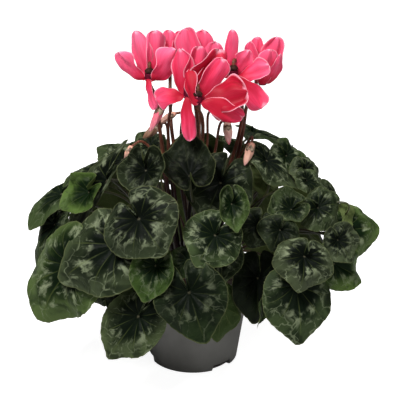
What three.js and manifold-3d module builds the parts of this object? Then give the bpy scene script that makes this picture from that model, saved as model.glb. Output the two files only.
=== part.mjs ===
// Potted cyclamen: nursery pot, compost, tuber, marbled leaves, nodding blooms and buds.
// Millimetres, +Z up, the pot stands on z = 0 with its axis on the Z axis and the plant's front is -Y.
import * as THREE from 'three';
import { mergeVertices } from 'three/addons/utils/BufferGeometryUtils.js';
import Module from 'manifold-3d';

const wasm = await Module();
wasm.setup();
const { Manifold, Mesh } = wasm;

// ---------------------------------------------------------------- dimensions
const POT = { height: 100, baseRadius: 45, rimRadius: 60, wall: 1.6, floor: 2.5, lip: 2.4, lipHeight: 8 };
const POT_SIDES = 24;
const DRAIN = { count: 3, first: -49, width: 24, height: 7, reach: 5 };
const SOIL_TOP = 86;
const SOIL_GAP = 0.5;
const TUBER = { radius: 31, bottom: 72, top: 99 };
const SOCKET_DEPTH = 6;
const SOCKET_STRAIGHT = 15;
const STALK_RADIUS = 1.5;
const BUD_STALK_RADIUS = 1.3;
const CLEARANCE = 0.3;
const STALK_SIDES = 4;
const BLADE = 0.8;
const PETAL = 0.8;
const PETAL_STEPS = [0, 0.35, 0.78, 1];
const PETAL_ROOT = 1.9;
const PETAL_LAYER = 2.5;
const THROAT = { radius: 4.4, height: 7, socket: 5 };
const PEG = 1;
const HOOK = 7.5;
const LARGE_LEAF = 50;
const GOLDEN = 137.508;
const TOLERANCE = 0.05;
const SLOTS = 68;

// Each leaf: joint of blade and stalk, the way the blade looks (turn from the front, lift),
// its tip's turn from straight downhill, length from joint to tip, full width, roll of its left and right
// halves, bend and margin wave. A leaf that grows `with` another shares its root.
const LEAVES = [
  {
    name: 'far_left_low', at: [-117, -85, 138], faces: [-35, 15], turn: -25,
    length: 68, width: 86, roll: [-20, -15], bend: -15, wave: 3, sway: 5,
  },
  {
    name: 'far_left_mid', with: 'upper_left', at: [-136, -30, 158], faces: [-50, 30], turn: -6,
    length: 42, width: 50, roll: [-20, -20], bend: -10, wave: 2,
  },
  {
    name: 'left_big', at: [-68, -112, 170], faces: [-25, 30], turn: -51,
    length: 71, width: 92, roll: [-20, -15], bend: -15, wave: 3, lobe: 0.5,
  },
  {
    name: 'upper_left', at: [-93, -12, 206], faces: [-40, 62], turn: -37,
    length: 39, width: 44, roll: [-20, 20], bend: -10, wave: 2,
  },
  {
    name: 'left_under', with: 'upper_left', at: [-96, -12, 193], faces: [150, -20], turn: 43,
    length: 40, width: 44, roll: [30, 30], bend: 30, wave: 2,
  },
  {
    name: 'far_left_tip', with: 'upper_left', at: [-129, -20, 186], faces: [-50, 62], turn: -11,
    length: 44, width: 42, roll: [-20, -20], bend: -20, wave: 2,
  },
  {
    name: 'left_strip', at: [-82, -50, 212], faces: [-60, 32], turn: -16,
    length: 71, width: 40, roll: [45, 45], bend: -5, wave: 2,
  },
  {
    name: 'left_heart', at: [-44, -126, 204], faces: [-10, 35], turn: 40,
    length: 39, width: 76, roll: [-15, -15], bend: -15, wave: 3,
  },
  {
    name: 'teal_cup', at: [-49, -70, 232], faces: [-15, 45], turn: 7,
    length: 33, width: 52, roll: [12, 35], bend: 10, wave: 3,
  },
  {
    name: 'top_dark', at: [-3, -58, 220], faces: [0, 62], turn: -168,
    length: 49, width: 54, roll: [20, 20], bend: 10, wave: 3,
  },
  {
    name: 'centre_upper', at: [27, -38, 205], faces: [5, 42], turn: -31,
    length: 33, width: 68, roll: [-10, -10], bend: -20, wave: 3,
  },
  {
    name: 'young_curl', at: [40, -112, 217], faces: [10, 30], turn: 1,
    length: 28, width: 34, roll: [45, 45], bend: 10, wave: 3, sway: 8,
  },
  {
    name: 'centre_heart', at: [21, -120, 185], faces: [5, 35], turn: -34,
    length: 32, width: 58, roll: [-10, -10], bend: -10, wave: 3,
  },
  {
    name: 'mid_right_a', at: [62, -92, 184], faces: [10, 30], turn: -25,
    length: 23, width: 42, roll: [-10, -10], bend: -10, wave: 2,
  },
  {
    name: 'mid_right_b', with: 'mid_right_a', at: [82, -98, 181], faces: [10, 30], turn: -27,
    length: 21, width: 42, roll: [-10, -10], bend: -10, wave: 2,
  },
  {
    name: 'centre_low', at: [31, -112, 165], faces: [5, 20], turn: -2,
    length: 29, width: 48, roll: [-10, -10], bend: -10, wave: 2, sway: 7,
  },
  {
    name: 'olive_edge', with: 'left_cup', at: [0, -113, 155], faces: [-10, 60], turn: -128,
    length: 21, width: 30, roll: [-20, -20], bend: -20, wave: 2,
  },
  {
    name: 'left_cup', at: [-35, -116, 160], faces: [-10, 25], turn: -11,
    length: 35, width: 42, roll: [25, 25], bend: 5, wave: 2, sway: 10,
  },
  {
    name: 'front_big', at: [-8, -141, 137], faces: [-5, 18], turn: 20,
    length: 47, width: 80, roll: [-15, -15], bend: -10, wave: 4,
  },
  {
    name: 'front_left_low', at: [-48, -118, 99], faces: [-15, 15], turn: -32,
    length: 53, width: 62, roll: [-15, -15], bend: -10, wave: 3, sway: 4,
  },
  {
    name: 'left_low_dark', at: [-62, -100, 118], faces: [-15, 15], turn: -16,
    length: 30, width: 46, roll: [-10, -10], bend: -10, wave: 2,
  },
  {
    name: 'front_under', at: [28, -108, 107], faces: [200, -20], turn: 10,
    length: 36, width: 44, roll: [20, 20], bend: 10, wave: 2,
  },
  {
    name: 'right_low_dark', at: [57, -88, 127], faces: [15, 15], turn: -6,
    length: 43, width: 42, roll: [-10, -10], bend: -5, wave: 2,
  },
  {
    name: 'brown_sliver', with: 'right_low_dark', at: [67, -90, 104], faces: [70, 10], turn: -60,
    length: 30, width: 22, roll: [40, 40], bend: 0, wave: 1,
  },
  {
    name: 'right_low_big', at: [96, -108, 128], faces: [15, 15], turn: 1,
    length: 55, width: 78, roll: [-15, -15], bend: -10, wave: 3, lobe: 0.6,
  },
  {
    name: 'right_mid', at: [98, -118, 163], faces: [20, 25], turn: -18,
    length: 32, width: 70, roll: [-50, -8], bend: -10, wave: 3, lobe: 0.8, sway: -8,
  },
  {
    name: 'right_grey', at: [138, -80, 163], faces: [25, 30], turn: 19,
    length: 23, width: 42, roll: [-10, -10], bend: -10, wave: 2, sway: -8,
  },
  {
    name: 'right_fold', with: 'right_grey', at: [148, -48, 176], faces: [210, -30], turn: 31,
    length: 19, width: 24, roll: [20, 20], bend: 0, wave: 1, sway: 0,
  },
  {
    name: 'right_bright', at: [135, -82, 139], faces: [35, 15], turn: 53,
    length: 42, width: 46, roll: [-15, -15], bend: -10, wave: 3,
  },
  {
    name: 'far_right', at: [147, -50, 160], faces: [40, 30], turn: 79,
    length: 46, width: 56, roll: [-10, -15], bend: -15, wave: 3,
  },
  {
    name: 'right_cup', at: [96, -70, 192], faces: [10, 40], turn: -79,
    length: 23, width: 42, roll: [25, 25], bend: 5, wave: 2,
  },
  {
    name: 'right_upper', with: 'right_cup', at: [118, -58, 191], faces: [25, 40], turn: 42,
    length: 21, width: 54, roll: [-10, -10], bend: -20, wave: 2,
  },
  {
    name: 'upper_right_long', at: [71, -30, 231], faces: [30, 45], turn: 31,
    length: 40, width: 34, roll: [-20, -20], bend: -10, wave: 2,
  },
  {
    name: 'upper_right_round', at: [89, -14, 229], faces: [40, 40], turn: 21,
    length: 21, width: 34, roll: [-15, -15], bend: -10, wave: 2, sway: -4,
  },
  {
    name: 'shoulder_right_a', with: 'upper_right_round', at: [107, -22, 218], faces: [50, 40], turn: 11,
    length: 21, width: 34, roll: [-10, -10], bend: -10, wave: 2,
  },
  {
    name: 'shoulder_right_b', with: 'upper_right_round', at: [110, -38, 207], faces: [45, 40], turn: 57,
    length: 22, width: 30, roll: [-20, -10], bend: -10, wave: 2,
  },
  {
    name: 'top_right_edge', at: [60, 60, 226], faces: [165, 66], turn: -8,
    length: 128, width: 34, roll: [-15, -15], bend: -10, wave: 2, lobe: 0.6,
  },
  {
    name: 'upper_right_under', with: 'upper_right_round', at: [71, -4, 197], faces: [200, -30], turn: 162,
    length: 29, width: 34, roll: [20, 20], bend: 10, wave: 2,
  },
  {
    name: 'upper_left_fold', at: [-70, 4, 213], faces: [-40, 45], turn: -97,
    length: 34, width: 34, roll: [-10, 35], bend: 0, wave: 2,
  },
  {
    name: 'top_left_dark', with: 'upper_left_fold', at: [-43, 24, 226], faces: [0, 60], turn: -139,
    length: 17, width: 30, roll: [-10, -10], bend: -10, wave: 2,
  },
  {
    name: 'left_low_grey', at: [-85, -84, 114], faces: [-20, 25], turn: -45,
    length: 19, width: 34, roll: [-15, -15], bend: -15, wave: 2, sway: -14,
  },
  {
    name: 'back_left', at: [-88, 50, 168], faces: [-130, 30], turn: 0,
    length: 58, width: 84, roll: [-10, -10], bend: -15, wave: 3,
  },
  {
    name: 'back_left_low', with: 'back_left', at: [-75, 112, 120], faces: [-150, 15], turn: 10,
    length: 46, width: 64, roll: [-15, -15], bend: -10, wave: 3,
  },
  {
    name: 'back_left_top', with: 'back_left', at: [-50, 62, 205], faces: [-150, 55], turn: 0,
    length: 40, width: 56, roll: [-10, -10], bend: -15, wave: 3,
  },
  {
    name: 'back_middle', at: [-6, 98, 172], faces: [180, 25], turn: 0,
    length: 64, width: 78, roll: [-10, -10], bend: -15, wave: 3,
  },
  {
    name: 'back_middle_low', with: 'back_middle', at: [-20, 134, 112], faces: [175, 15], turn: -10,
    length: 46, width: 64, roll: [-15, -15], bend: -10, wave: 3,
  },
  {
    name: 'back_middle_top', with: 'back_middle', at: [5, 72, 205], faces: [180, 50], turn: 10,
    length: 42, width: 58, roll: [-10, -10], bend: -15, wave: 3,
  },
  {
    name: 'back_right', at: [64, 70, 156], faces: [145, 30], turn: 0,
    length: 60, width: 82, roll: [-10, -10], bend: -15, wave: 3,
  },
  {
    name: 'back_right_low', with: 'back_right', at: [78, 92, 104], faces: [150, 10], turn: 10,
    length: 50, width: 70, roll: [-15, -15], bend: -10, wave: 3,
  },
  {
    name: 'back_right_top', with: 'back_right', at: [45, 78, 198], faces: [140, 50], turn: 0,
    length: 38, width: 54, roll: [-10, -10], bend: -15, wave: 3,
  },
  {
    name: 'side_right', at: [140, 24, 158], faces: [95, 25], turn: 0,
    length: 48, width: 62, roll: [-10, -10], bend: -15, wave: 3,
  },
  {
    name: 'side_right_top', with: 'side_right', at: [104, 50, 190], faces: [120, 30], turn: 0,
    length: 42, width: 62, roll: [-10, -10], bend: -10, wave: 3,
  },
  {
    name: 'side_right_low', with: 'side_right', at: [122, 64, 110], faces: [115, 15], turn: 10,
    length: 46, width: 62, roll: [-15, -15], bend: -10, wave: 3,
  },
  {
    name: 'side_left', with: 'back_left', at: [-138, 25, 150], faces: [-100, 25], turn: 0,
    length: 46, width: 62, roll: [-10, -10], bend: -15, wave: 3,
  },
];

// Each bloom: its throat, the side its stalk hooks over from, points its stalk goes by, and its petals.
const BLOOMS = [
  {
    name: 'bloom_left', at: [-41, -25, 305], spin: -19, hook: 150, via: [[-32, -12, 250], [-35, -20, 285]],
    petals: [
      { tip: [6, -10, -26], width: 9, face: [-20, 0] },
      { tip: [25, -6, 32], width: 28, face: [25, 10] },
      { tip: [5, 4, 47], width: 21, face: [20, 10] },
      { tip: [-13, 6, 46], width: 20, face: [-10, 0] },
      { tip: [-28, -4, 29], width: 17, face: [-30, 10] },
    ],
  },
  {
    name: 'bloom_back_left', at: [-23, 48, 290], spin: -7, hook: 180, via: [[-21, 15, 240], [-23, 46, 268]],
    petals: [
      { tip: [-5, -8, 16], width: 18, face: [-20, 20] },
      { tip: [16, 2, 20], width: 20, face: [40, 10] },
      { tip: [11, 8, 40], width: 18, face: [20, 0] },
      { tip: [-1, 8, 41], width: 18, face: [0, 0] },
      { tip: [-10, 4, 42], width: 14, face: [-40, 0] },
    ],
  },
  {
    name: 'bloom_back_middle', at: [5, 35, 288], spin: 48, hook: 180, via: [[6, 20, 240], [6, 38, 268]],
    petals: [
      { tip: [8, -6, 20], width: 18, face: [10, 20] },
      { tip: [19, 6, 35], width: 20, face: [30, 0] },
      { tip: [6, 6, 47], width: 21, face: [10, 0] },
      { tip: [-8, 2, 25], width: 18, face: [-60, 0] },
      { tip: [-12, 4, 51], width: 23, face: [-10, 0] },
    ],
  },
  {
    name: 'bloom_front_left', at: [-4, -45, 294], spin: -12, hook: 120, via: [[4, -12, 235], [4, -30, 268]],
    petals: [
      { tip: [1, -8, -40], width: 14, face: [0, 0] },
      { tip: [29, 0, 47], width: 34, face: [5, 5] },
      { tip: [10, 8, 47], width: 24, face: [0, 5] },
      { tip: [-8, 6, 45], width: 22, face: [-20, 0] },
      { tip: [-31, -4, 0], width: 19, face: [-10, 30] },
    ],
  },
  {
    name: 'bloom_front_middle', at: [5, -62, 294], spin: 56, hook: 180, via: [[9, -14, 235], [9, -40, 272]],
    petals: [
      { tip: [42, 0, -14], width: 22, face: [5, 0] },
      { tip: [46, -4, 13], width: 31, face: [5, 15] },
      { tip: [24, 8, 40], width: 22, face: [10, 0] },
      { tip: [7, 0, 22], width: 17, face: [20, 0] },
      { tip: [-9, 0, 20], width: 16, face: [-30, 0] },
    ],
  },
  {
    name: 'bloom_right', at: [39, -12, 304], spin: 10, hook: 100, via: [[44, -6, 238], [48, -8, 270]],
    petals: [
      { tip: [27, -10, -28], width: 24, face: [10, 0] },
      { tip: [34, -4, 13], width: 20, face: [5, 30] },
      { tip: [15, 4, 25], width: 18, face: [10, 0] },
      { tip: [-1, 2, 46], width: 12, face: [10, 0] },
      { tip: [-12, 8, 15], width: 14, face: [-50, 0] },
    ],
  },
  {
    name: 'bloom_far_right', at: [68, 8, 291], spin: -6, hook: 240, via: [[49, -2, 245], [53, 2, 271]],
    petals: [
      { tip: [6, -9, 38], width: 18, face: [5, 0] },
      { tip: [16, -5, 31], width: 18, face: [40, 0] },
      { tip: [14, 2, 46], width: 21, face: [15, 0] },
      { tip: [-6, 6, 45], width: 15, face: [0, 0] },
      { tip: [-12, 0, 43], width: 13, face: [-30, 0] },
    ],
  },
];

// Each bud: its calyx, its tip, its thickness and points its stalk goes by.
const BUDS = [
  {
    name: 'bud_pink', at: [-28, -30, 283], tip: [-41, -34, 256], width: 9,
    via: [[-24, -10, 250], [-21, -22, 284]],
  },
  {
    name: 'bud_peach_back', at: [-18, 2, 262], tip: [-35, -2, 253], width: 7,
    via: [[-12, 4, 240], [-11, 3, 262]],
  },
  {
    name: 'bud_white', at: [33, -25, 262], tip: [35, -29, 241], width: 9,
    via: [[22, -18, 232], [28, -22, 262]],
  },
  {
    name: 'bud_peach_right', at: [55, -20, 242], tip: [47, -24, 224], width: 9,
    via: [[36, -12, 200], [57, -16, 244]],
  },
  {
    name: 'bud_peach_left', at: [-61, -10, 233], tip: [-66, -14, 217], width: 8,
    via: [[-30, -2, 205], [-50, -5, 234]],
  },
  {
    name: 'bud_slender', at: [18, -20, 273], tip: [26, -24, 263], width: 5,
    via: [[14, -14, 235], [15, -17, 268]],
  },
  {
    name: 'spent_bloom', at: [-32, 6, 250], tip: [-49, 0, 237], width: 14,
    via: [[-24, 6, 215], [-27, 8, 250]],
  },
];

// ---------------------------------------------------------------- vectors
const rad = (deg) => (deg * Math.PI) / 180;
const add = (a, b, k = 1) => [a[0] + k * b[0], a[1] + k * b[1], a[2] + k * b[2]];
const sub = (a, b) => [a[0] - b[0], a[1] - b[1], a[2] - b[2]];
const scale = (a, k) => [a[0] * k, a[1] * k, a[2] * k];
const dot = (a, b) => a[0] * b[0] + a[1] * b[1] + a[2] * b[2];
const cross = (a, b) => [a[1] * b[2] - a[2] * b[1], a[2] * b[0] - a[0] * b[2], a[0] * b[1] - a[1] * b[0]];
const unit = (a) => scale(a, 1 / Math.hypot(...a));
const facing = (azimuth, lift) => [
  Math.sin(rad(azimuth)) * Math.cos(rad(lift)),
  -Math.cos(rad(azimuth)) * Math.cos(rad(lift)),
  Math.sin(rad(lift)),
];

// ---------------------------------------------------------------- solids
function solid(points, triangles) {
  const mesh = new Mesh({
    numProp: 3,
    vertProperties: new Float32Array(points.flat()),
    triVerts: new Uint32Array(triangles.flat()),
    tolerance: TOLERANCE,
  });
  return new Manifold(mesh);
}

// A sheet of even thickness: the same triangles on both faces, joined round the rim.
function sheet(at, normal, triangles, rim, thickness) {
  const n = at.length;
  const front = at.map((p, i) => add(p, normal[i], thickness / 2));
  const back = at.map((p, i) => add(p, normal[i], -thickness / 2));
  const faces = [];
  for (const [a, b, c] of triangles) {
    faces.push([a, b, c]);
    faces.push([n + c, n + b, n + a]);
  }
  for (let i = 0; i < rim.length; i += 1) {
    const a = rim[i];
    const b = rim[(i + 1) % rim.length];
    faces.push([a, n + a, n + b]);
    faces.push([a, n + b, b]);
  }
  return solid([...front, ...back], faces);
}

// A round rod of changing radius along a path of points, its sides square to the `across` direction.
function rod(path, radii, sides, across) {
  const points = [];
  const faces = [];
  path.forEach((p, i) => {
    const ahead = path[Math.min(i + 1, path.length - 1)];
    const behind = path[Math.max(i - 1, 0)];
    const along = unit(sub(ahead, behind));
    const u = unit(sub(across, scale(along, dot(across, along))));
    const v = cross(along, u);
    for (let k = 0; k < sides; k += 1) {
      const a = (2 * Math.PI * k) / sides;
      points.push(add(add(p, u, radii[i] * Math.cos(a)), v, radii[i] * Math.sin(a)));
    }
  });
  for (let i = 0; i + 1 < path.length; i += 1) {
    for (let k = 0; k < sides; k += 1) {
      const a = i * sides + k;
      const b = i * sides + ((k + 1) % sides);
      faces.push([a, b, b + sides]);
      faces.push([a, b + sides, a + sides]);
    }
  }
  const last = (path.length - 1) * sides;
  for (let k = 1; k + 1 < sides; k += 1) {
    faces.push([0, k + 1, k]);
    faces.push([last, last + k, last + k + 1]);
  }
  return solid(points, faces);
}

// A closed three.js geometry as a solid: shared corners merged, collapsed triangles left out.
function fromGeometry(geometry) {
  geometry.deleteAttribute('normal');
  geometry.deleteAttribute('uv');
  const merged = mergeVertices(geometry, 1e-5);
  const { array } = merged.index;
  const triangles = [];
  for (let i = 0; i < array.length; i += 3) {
    const [p, q, r] = [array[i], array[i + 1], array[i + 2]];
    if (p !== q && q !== r && r !== p) triangles.push(p, q, r);
  }
  const vertProperties = new Float32Array(merged.attributes.position.array);
  const triVerts = new Uint32Array(triangles);
  return new Manifold(new Mesh({ numProp: 3, vertProperties, triVerts, tolerance: TOLERANCE }));
}

// A solid turned about a vertical axis through `at`, from a closed profile of [radius, z] points.
function turned(profile, sides, at = [0, 0, 0]) {
  const points = profile.map(([r, z]) => new THREE.Vector2(r, z));
  const geometry = new THREE.LatheGeometry(points, sides);
  geometry.rotateX(Math.PI / 2);
  geometry.translate(...at);
  return fromGeometry(geometry);
}

// A smooth path through the given points.
function through(points, steps) {
  const knots = points.map((p) => new THREE.Vector3(...p));
  return new THREE.CatmullRomCurve3(knots, false, 'centripetal').getPoints(steps).map((p) => [p.x, p.y, p.z]);
}

// ---------------------------------------------------------------- sockets in the tuber
// Sockets stand on a golden-angle spiral; each stalk takes the free one nearest its own direction.
const tuberTop = (r) => TUBER.top - 10 * (r / TUBER.radius) ** 2;
const free = Array.from({ length: SLOTS }, (_, k) => {
  const r = 3.35 * Math.sqrt(k + 0.4);
  return [r * Math.cos(rad(GOLDEN * k)), r * Math.sin(rad(GOLDEN * k))];
});
const sockets = [];

function takeSocket(target, radius) {
  const reach = Math.hypot(target[0], target[1]);
  const pull = Math.min(25, 0.2 * reach) / Math.max(reach, 1);
  const wanted = [target[0] * pull, target[1] * pull];
  const distance = (s) => Math.hypot(s[0] - wanted[0], s[1] - wanted[1]);
  const best = free.reduce((a, b) => (distance(b) < distance(a) ? b : a));
  free.splice(free.indexOf(best), 1);
  const r = Math.hypot(best[0], best[1]);
  const foot = [best[0], best[1], tuberTop(r) - SOCKET_DEPTH];
  const along = unit([best[0] / 55, best[1] / 55, 1]);
  const across = unit([-best[1] - 0.01, best[0], 0]);
  const end = add(foot, along, SOCKET_STRAIGHT);
  sockets.push(rod([foot, end], [radius + CLEARANCE, radius + CLEARANCE], STALK_SIDES, across));
  return { foot, end, along, across };
}

// ---------------------------------------------------------------- leaves
// Heart-shaped outline: distance from the stalk's joint at angle t from the tip.
function outline(t) {
  const broad = 0.56 + 0.3 * ((1 + Math.cos(t)) / 2) ** 2 + 0.14 * Math.exp(-((t / 0.28) ** 2));
  return broad * (1 - 0.8 * Math.exp(-(((Math.PI - Math.abs(t)) / 0.38) ** 2)));
}

// Distance forward and upward after going q along an arc that turns k radians a millimetre.
function arc(q, k) {
  if (Math.abs(k) < 1e-6) return [q, 0];
  return [Math.sin(k * q) / k, (1 - Math.cos(k * q)) / k];
}

// A point of the blade: rolled about its midrib, bent along it and waved at its margin.
function bladePoint(leaf, frame, s, t) {
  const r = s * outline(t);
  const x = (r * Math.sin(t) * leaf.width) / 1.31;
  const forwardOrBack = Math.cos(t) < 0 ? leaf.lobe ?? 1 : 1;
  const y = r * Math.cos(t) * leaf.length * forwardOrBack;
  const roll = rad(x > 0 ? leaf.roll[0] : leaf.roll[1]) / (0.5 * leaf.width);
  const bend = rad(leaf.bend) / leaf.length;
  const [a, rise] = arc(x, roll);
  const h = rise + leaf.wave * s ** 3 * Math.sin(5 * t + (leaf.phase ?? 0));
  const [forward, up] = arc(y, bend);
  const along = forward - h * Math.sin(bend * y);
  const out = up + h * Math.cos(bend * y);
  return add(add(add(leaf.at, frame.side, a), frame.tip, along), frame.normal, out);
}

function leafFrame(leaf) {
  const [azimuth, lift] = leaf.faces;
  const normal = facing(azimuth, lift);
  const downhill = facing(azimuth, lift - 90);
  const level = cross(normal, downhill);
  const tip = add(scale(downhill, Math.cos(rad(leaf.turn))), level, Math.sin(rad(leaf.turn)));
  return { normal, tip, side: cross(tip, normal) };
}

function blade(leaf, frame) {
  const large = leaf.length >= LARGE_LEAF;
  const rings = [0.55, 1];
  const sectors = large ? 14 : 10;
  const points = [leaf.at];
  for (const s of rings) {
    for (let j = 0; j < sectors; j += 1) {
      points.push(bladePoint(leaf, frame, s, (2 * Math.PI * j) / sectors - Math.PI));
    }
  }
  const triangles = [];
  for (let j = 0; j < sectors; j += 1) {
    triangles.push([0, 1 + ((j + 1) % sectors), 1 + j]);
  }
  for (let i = 1; i < rings.length; i += 1) {
    for (let j = 0; j < sectors; j += 1) {
      const p = 1 + (i - 1) * sectors + j;
      const q = 1 + (i - 1) * sectors + ((j + 1) % sectors);
      triangles.push([p, q + sectors, p + sectors]);
      triangles.push([p, q, q + sectors]);
    }
  }
  const normals = points.map(() => [0, 0, 0]);
  for (const [a, b, c] of triangles) {
    const n = cross(sub(points[b], points[a]), sub(points[c], points[a]));
    for (const i of [a, b, c]) normals[i] = add(normals[i], n);
  }
  const first = 1 + (rings.length - 1) * sectors;
  const rim = Array.from({ length: sectors }, (_, j) => first + sectors - 1 - j);
  return sheet(points, normals.map(unit), triangles, rim, BLADE);
}

// The leaf stalk leaves its socket, bows out sideways by `sway` and comes up under the joint.
function leafStalk(leaf, frame, { foot, end, along, across }) {
  const branch = Boolean(leaf.with);
  const joint = add(leaf.at, frame.normal, -0.2);
  const gap = Math.hypot(...sub(joint, end));
  const arrive = unit(add(scale(frame.normal, 0.75), frame.tip, 0.5));
  const p1 = add(add(end, along, 0.4 * gap), across, leaf.sway ?? 0);
  const p2 = add(joint, arrive, -0.33 * gap);
  const curve = new THREE.CubicBezierCurve3(...[end, p1, p2, joint].map((p) => new THREE.Vector3(...p)));
  const start = branch ? add(foot, along, 0.6 * SOCKET_STRAIGHT) : foot;
  const path = [start, ...curve.getPoints(3).map((p) => [p.x, p.y, p.z])];
  const radii = path.map((_, i) => STALK_RADIUS - 0.08 * i - (branch ? 0.2 : 0));
  return rod(path, radii, STALK_SIDES, across);
}

function leaf(spec, root) {
  const frame = leafFrame(spec);
  return blade(spec, frame).add(leafStalk(spec, frame, root));
}

// ---------------------------------------------------------------- blooms
// A petal runs out from the throat's ring, then sweeps over to its tip; `face` is the way its broad side
// looks there. Its outline is narrow at the root and widest two thirds of the way to a rounded tip.
function petal(bloom, spec, k) {
  const azimuth = bloom.spin + 72 * k;
  const out = facing(azimuth, 0);
  const look = facing(...spec.face);
  const layer = PETAL_LAYER * Math.cos(rad(azimuth + 20));
  const start = add(add(bloom.at, out, THROAT.radius - 1), [0, 0, 1.5]);
  const bow = add(add(bloom.at, out, THROAT.radius + 3), [0, 0, spec.tip[2] > 0 ? -3 : 2]);
  const end = add(add(bloom.at, spec.tip), look, layer);
  const ring = cross([0, 0, 1], out);
  const points = [];
  for (const v of PETAL_STEPS) {
    const centre = add(add(scale(start, (1 - v) ** 2), bow, 2 * v * (1 - v)), end, v * v);
    const along = unit(add(scale(sub(bow, start), 1 - v), sub(end, bow), v));
    const broad = cross(look, along);
    const blend = Math.min(1, 2.2 * v);
    const across = add(scale(ring, (1 - blend) * (dot(ring, broad) < 0 ? -1 : 1)), unit(broad), blend);
    const level = unit(sub(across, scale(along, dot(across, along))));
    const normal = cross(along, level);
    const swell = 2.79 * v * (1.02 - v) ** 0.6;
    const half = PETAL_ROOT * (1 - v) + (spec.width / 2) * swell;
    for (const u of [-1, 0, 1]) {
      const frill = 0.9 * u * Math.sin(9 * v + spec.tip[0]);
      points.push(add(add(centre, level, u * half), normal, 0.15 * half * (1 - u * u) + frill * v));
    }
  }
  const triangles = [];
  for (let i = 0; i + 1 < PETAL_STEPS.length; i += 1) {
    for (let k = 0; k < 2; k += 1) {
      const a = 3 * i + k;
      triangles.push([a, a + 1, a + 4]);
      triangles.push([a, a + 4, a + 3]);
    }
  }
  const normals = points.map(() => [0, 0, 0]);
  for (const [a, b, c] of triangles) {
    const n = cross(sub(points[b], points[a]), sub(points[c], points[a]));
    for (const i of [a, b, c]) normals[i] = add(normals[i], n);
  }
  const rows = PETAL_STEPS.map((_, i) => 3 * i);
  const rim = [0, 1, ...rows.map((i) => i + 2), rows.at(-1) + 1, ...rows.toReversed()];
  return sheet(points, normals.map(unit), triangles, rim.slice(0, -1), PETAL);
}

// The throat is a short boss with a dished mouth below; the stalk's peg cuts its socket.
function throat(bloom) {
  const { radius, height } = THROAT;
  const profile = [
    [0, 1],
    [radius - 0.6, -1],
    [radius, 1],
    [radius, height],
    [0, height],
  ];
  return turned(profile, 6, bloom.at);
}

function bloomStalk(bloom) {
  const { foot, end, along, across } = takeSocket(bloom.at, STALK_RADIUS);
  const hook = facing(bloom.hook, 0);
  const beside = (out, up) => add(add(bloom.at, hook, out), [0, 0, up]);
  const knots = [end, add(end, along, 20), ...bloom.via, beside(HOOK, -6), beside(HOOK, 9)];
  const top = [beside(HOOK * 0.8, 14), beside(HOOK * 0.4, 16), beside(0.4, 14.5), beside(0, 11)];
  const path = [foot, ...through([...knots, ...top], 13)];
  const radii = path.map((_, i) => STALK_RADIUS - 0.02 * i);
  const seat = THROAT.height + CLEARANCE;
  const calyx = (grow) => [
    [0, THROAT.socket - grow],
    [PEG + grow, THROAT.socket - grow],
    [PEG + grow, seat - 1.2 * grow],
    [4.2 + grow, seat - 1.2 * grow],
    [3.4 + grow, 9.2],
    [1.4 + grow, 12],
    [0, 12 + grow],
  ];
  const grown = (grow) => {
    const stalk = rod(path, radii.map((r) => r + grow), STALK_SIDES, across);
    return stalk.add(turned(calyx(grow), 6, bloom.at));
  };
  return { body: grown(0), sleeve: grown(CLEARANCE) };
}

function corolla(bloom, sleeve) {
  const whole = bloom.petals.reduce((body, spec, k) => body.add(petal(bloom, spec, k)), throat(bloom));
  return whole.subtract(sleeve);
}

// ---------------------------------------------------------------- buds
// A bud hangs from a hooked stalk: a calyx, then a spindle of furled petals along the line to its tip.
function bud(spec) {
  const { foot, end, along, across } = takeSocket(spec.at, BUD_STALK_RADIUS);
  const path = [foot, ...through([end, add(end, along, 20), ...spec.via, spec.at], 8)];
  const radii = path.map(() => BUD_STALK_RADIUS);
  const line = sub(spec.tip, spec.at);
  const shape = [0.7, 1, 0.85, 0.95, 0.8, 0.5, 0.12];
  const spots = [-0.06, 0.02, 0.16, 0.4, 0.62, 0.84, 1];
  const centres = spots.map((k) => add(spec.at, line, k));
  const widths = shape.map((k) => (k * spec.width) / 2);
  const spindle = rod(centres, widths, 6, [1, 0, 0]);
  return rod(path, radii, STALK_SIDES, across).add(spindle);
}

// ---------------------------------------------------------------- pot, compost and tuber
function pot() {
  const { height, baseRadius, rimRadius, wall, floor, lip, lipHeight } = POT;
  const profile = [
    [0, 0],
    [baseRadius - 1, 0],
    [baseRadius, 1],
    [rimRadius - 0.8, height - lipHeight],
    [rimRadius + lip, height - lipHeight],
    [rimRadius + lip, height - 1],
    [rimRadius + lip - 1, height],
    [rimRadius - wall, height],
    [baseRadius - wall + 0.4, floor],
    [0, floor],
  ];
  let body = turned(profile, POT_SIDES);
  for (let k = 0; k < DRAIN.count; k += 1) {
    const cut = new THREE.BoxGeometry(DRAIN.reach * 2, DRAIN.width, DRAIN.height);
    cut.translate(baseRadius, 0, DRAIN.height / 2 - 1);
    cut.rotateZ(rad(DRAIN.first + (360 * k) / DRAIN.count));
    body = body.subtract(fromGeometry(cut));
  }
  return body;
}

function tuberBody(grow) {
  const { radius, bottom } = TUBER;
  const edge = [0.25, 0.5, 0.75, 0.93];
  const upper = edge.map((k) => [k * radius + grow, tuberTop(k * radius) + grow]);
  const profile = [
    [0, bottom],
    [0.8 * radius + grow, bottom],
    [radius + grow, bottom + 7],
    ...upper.reverse(),
    [0, tuberTop(0) + grow],
  ];
  return turned(profile, 16);
}

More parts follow.
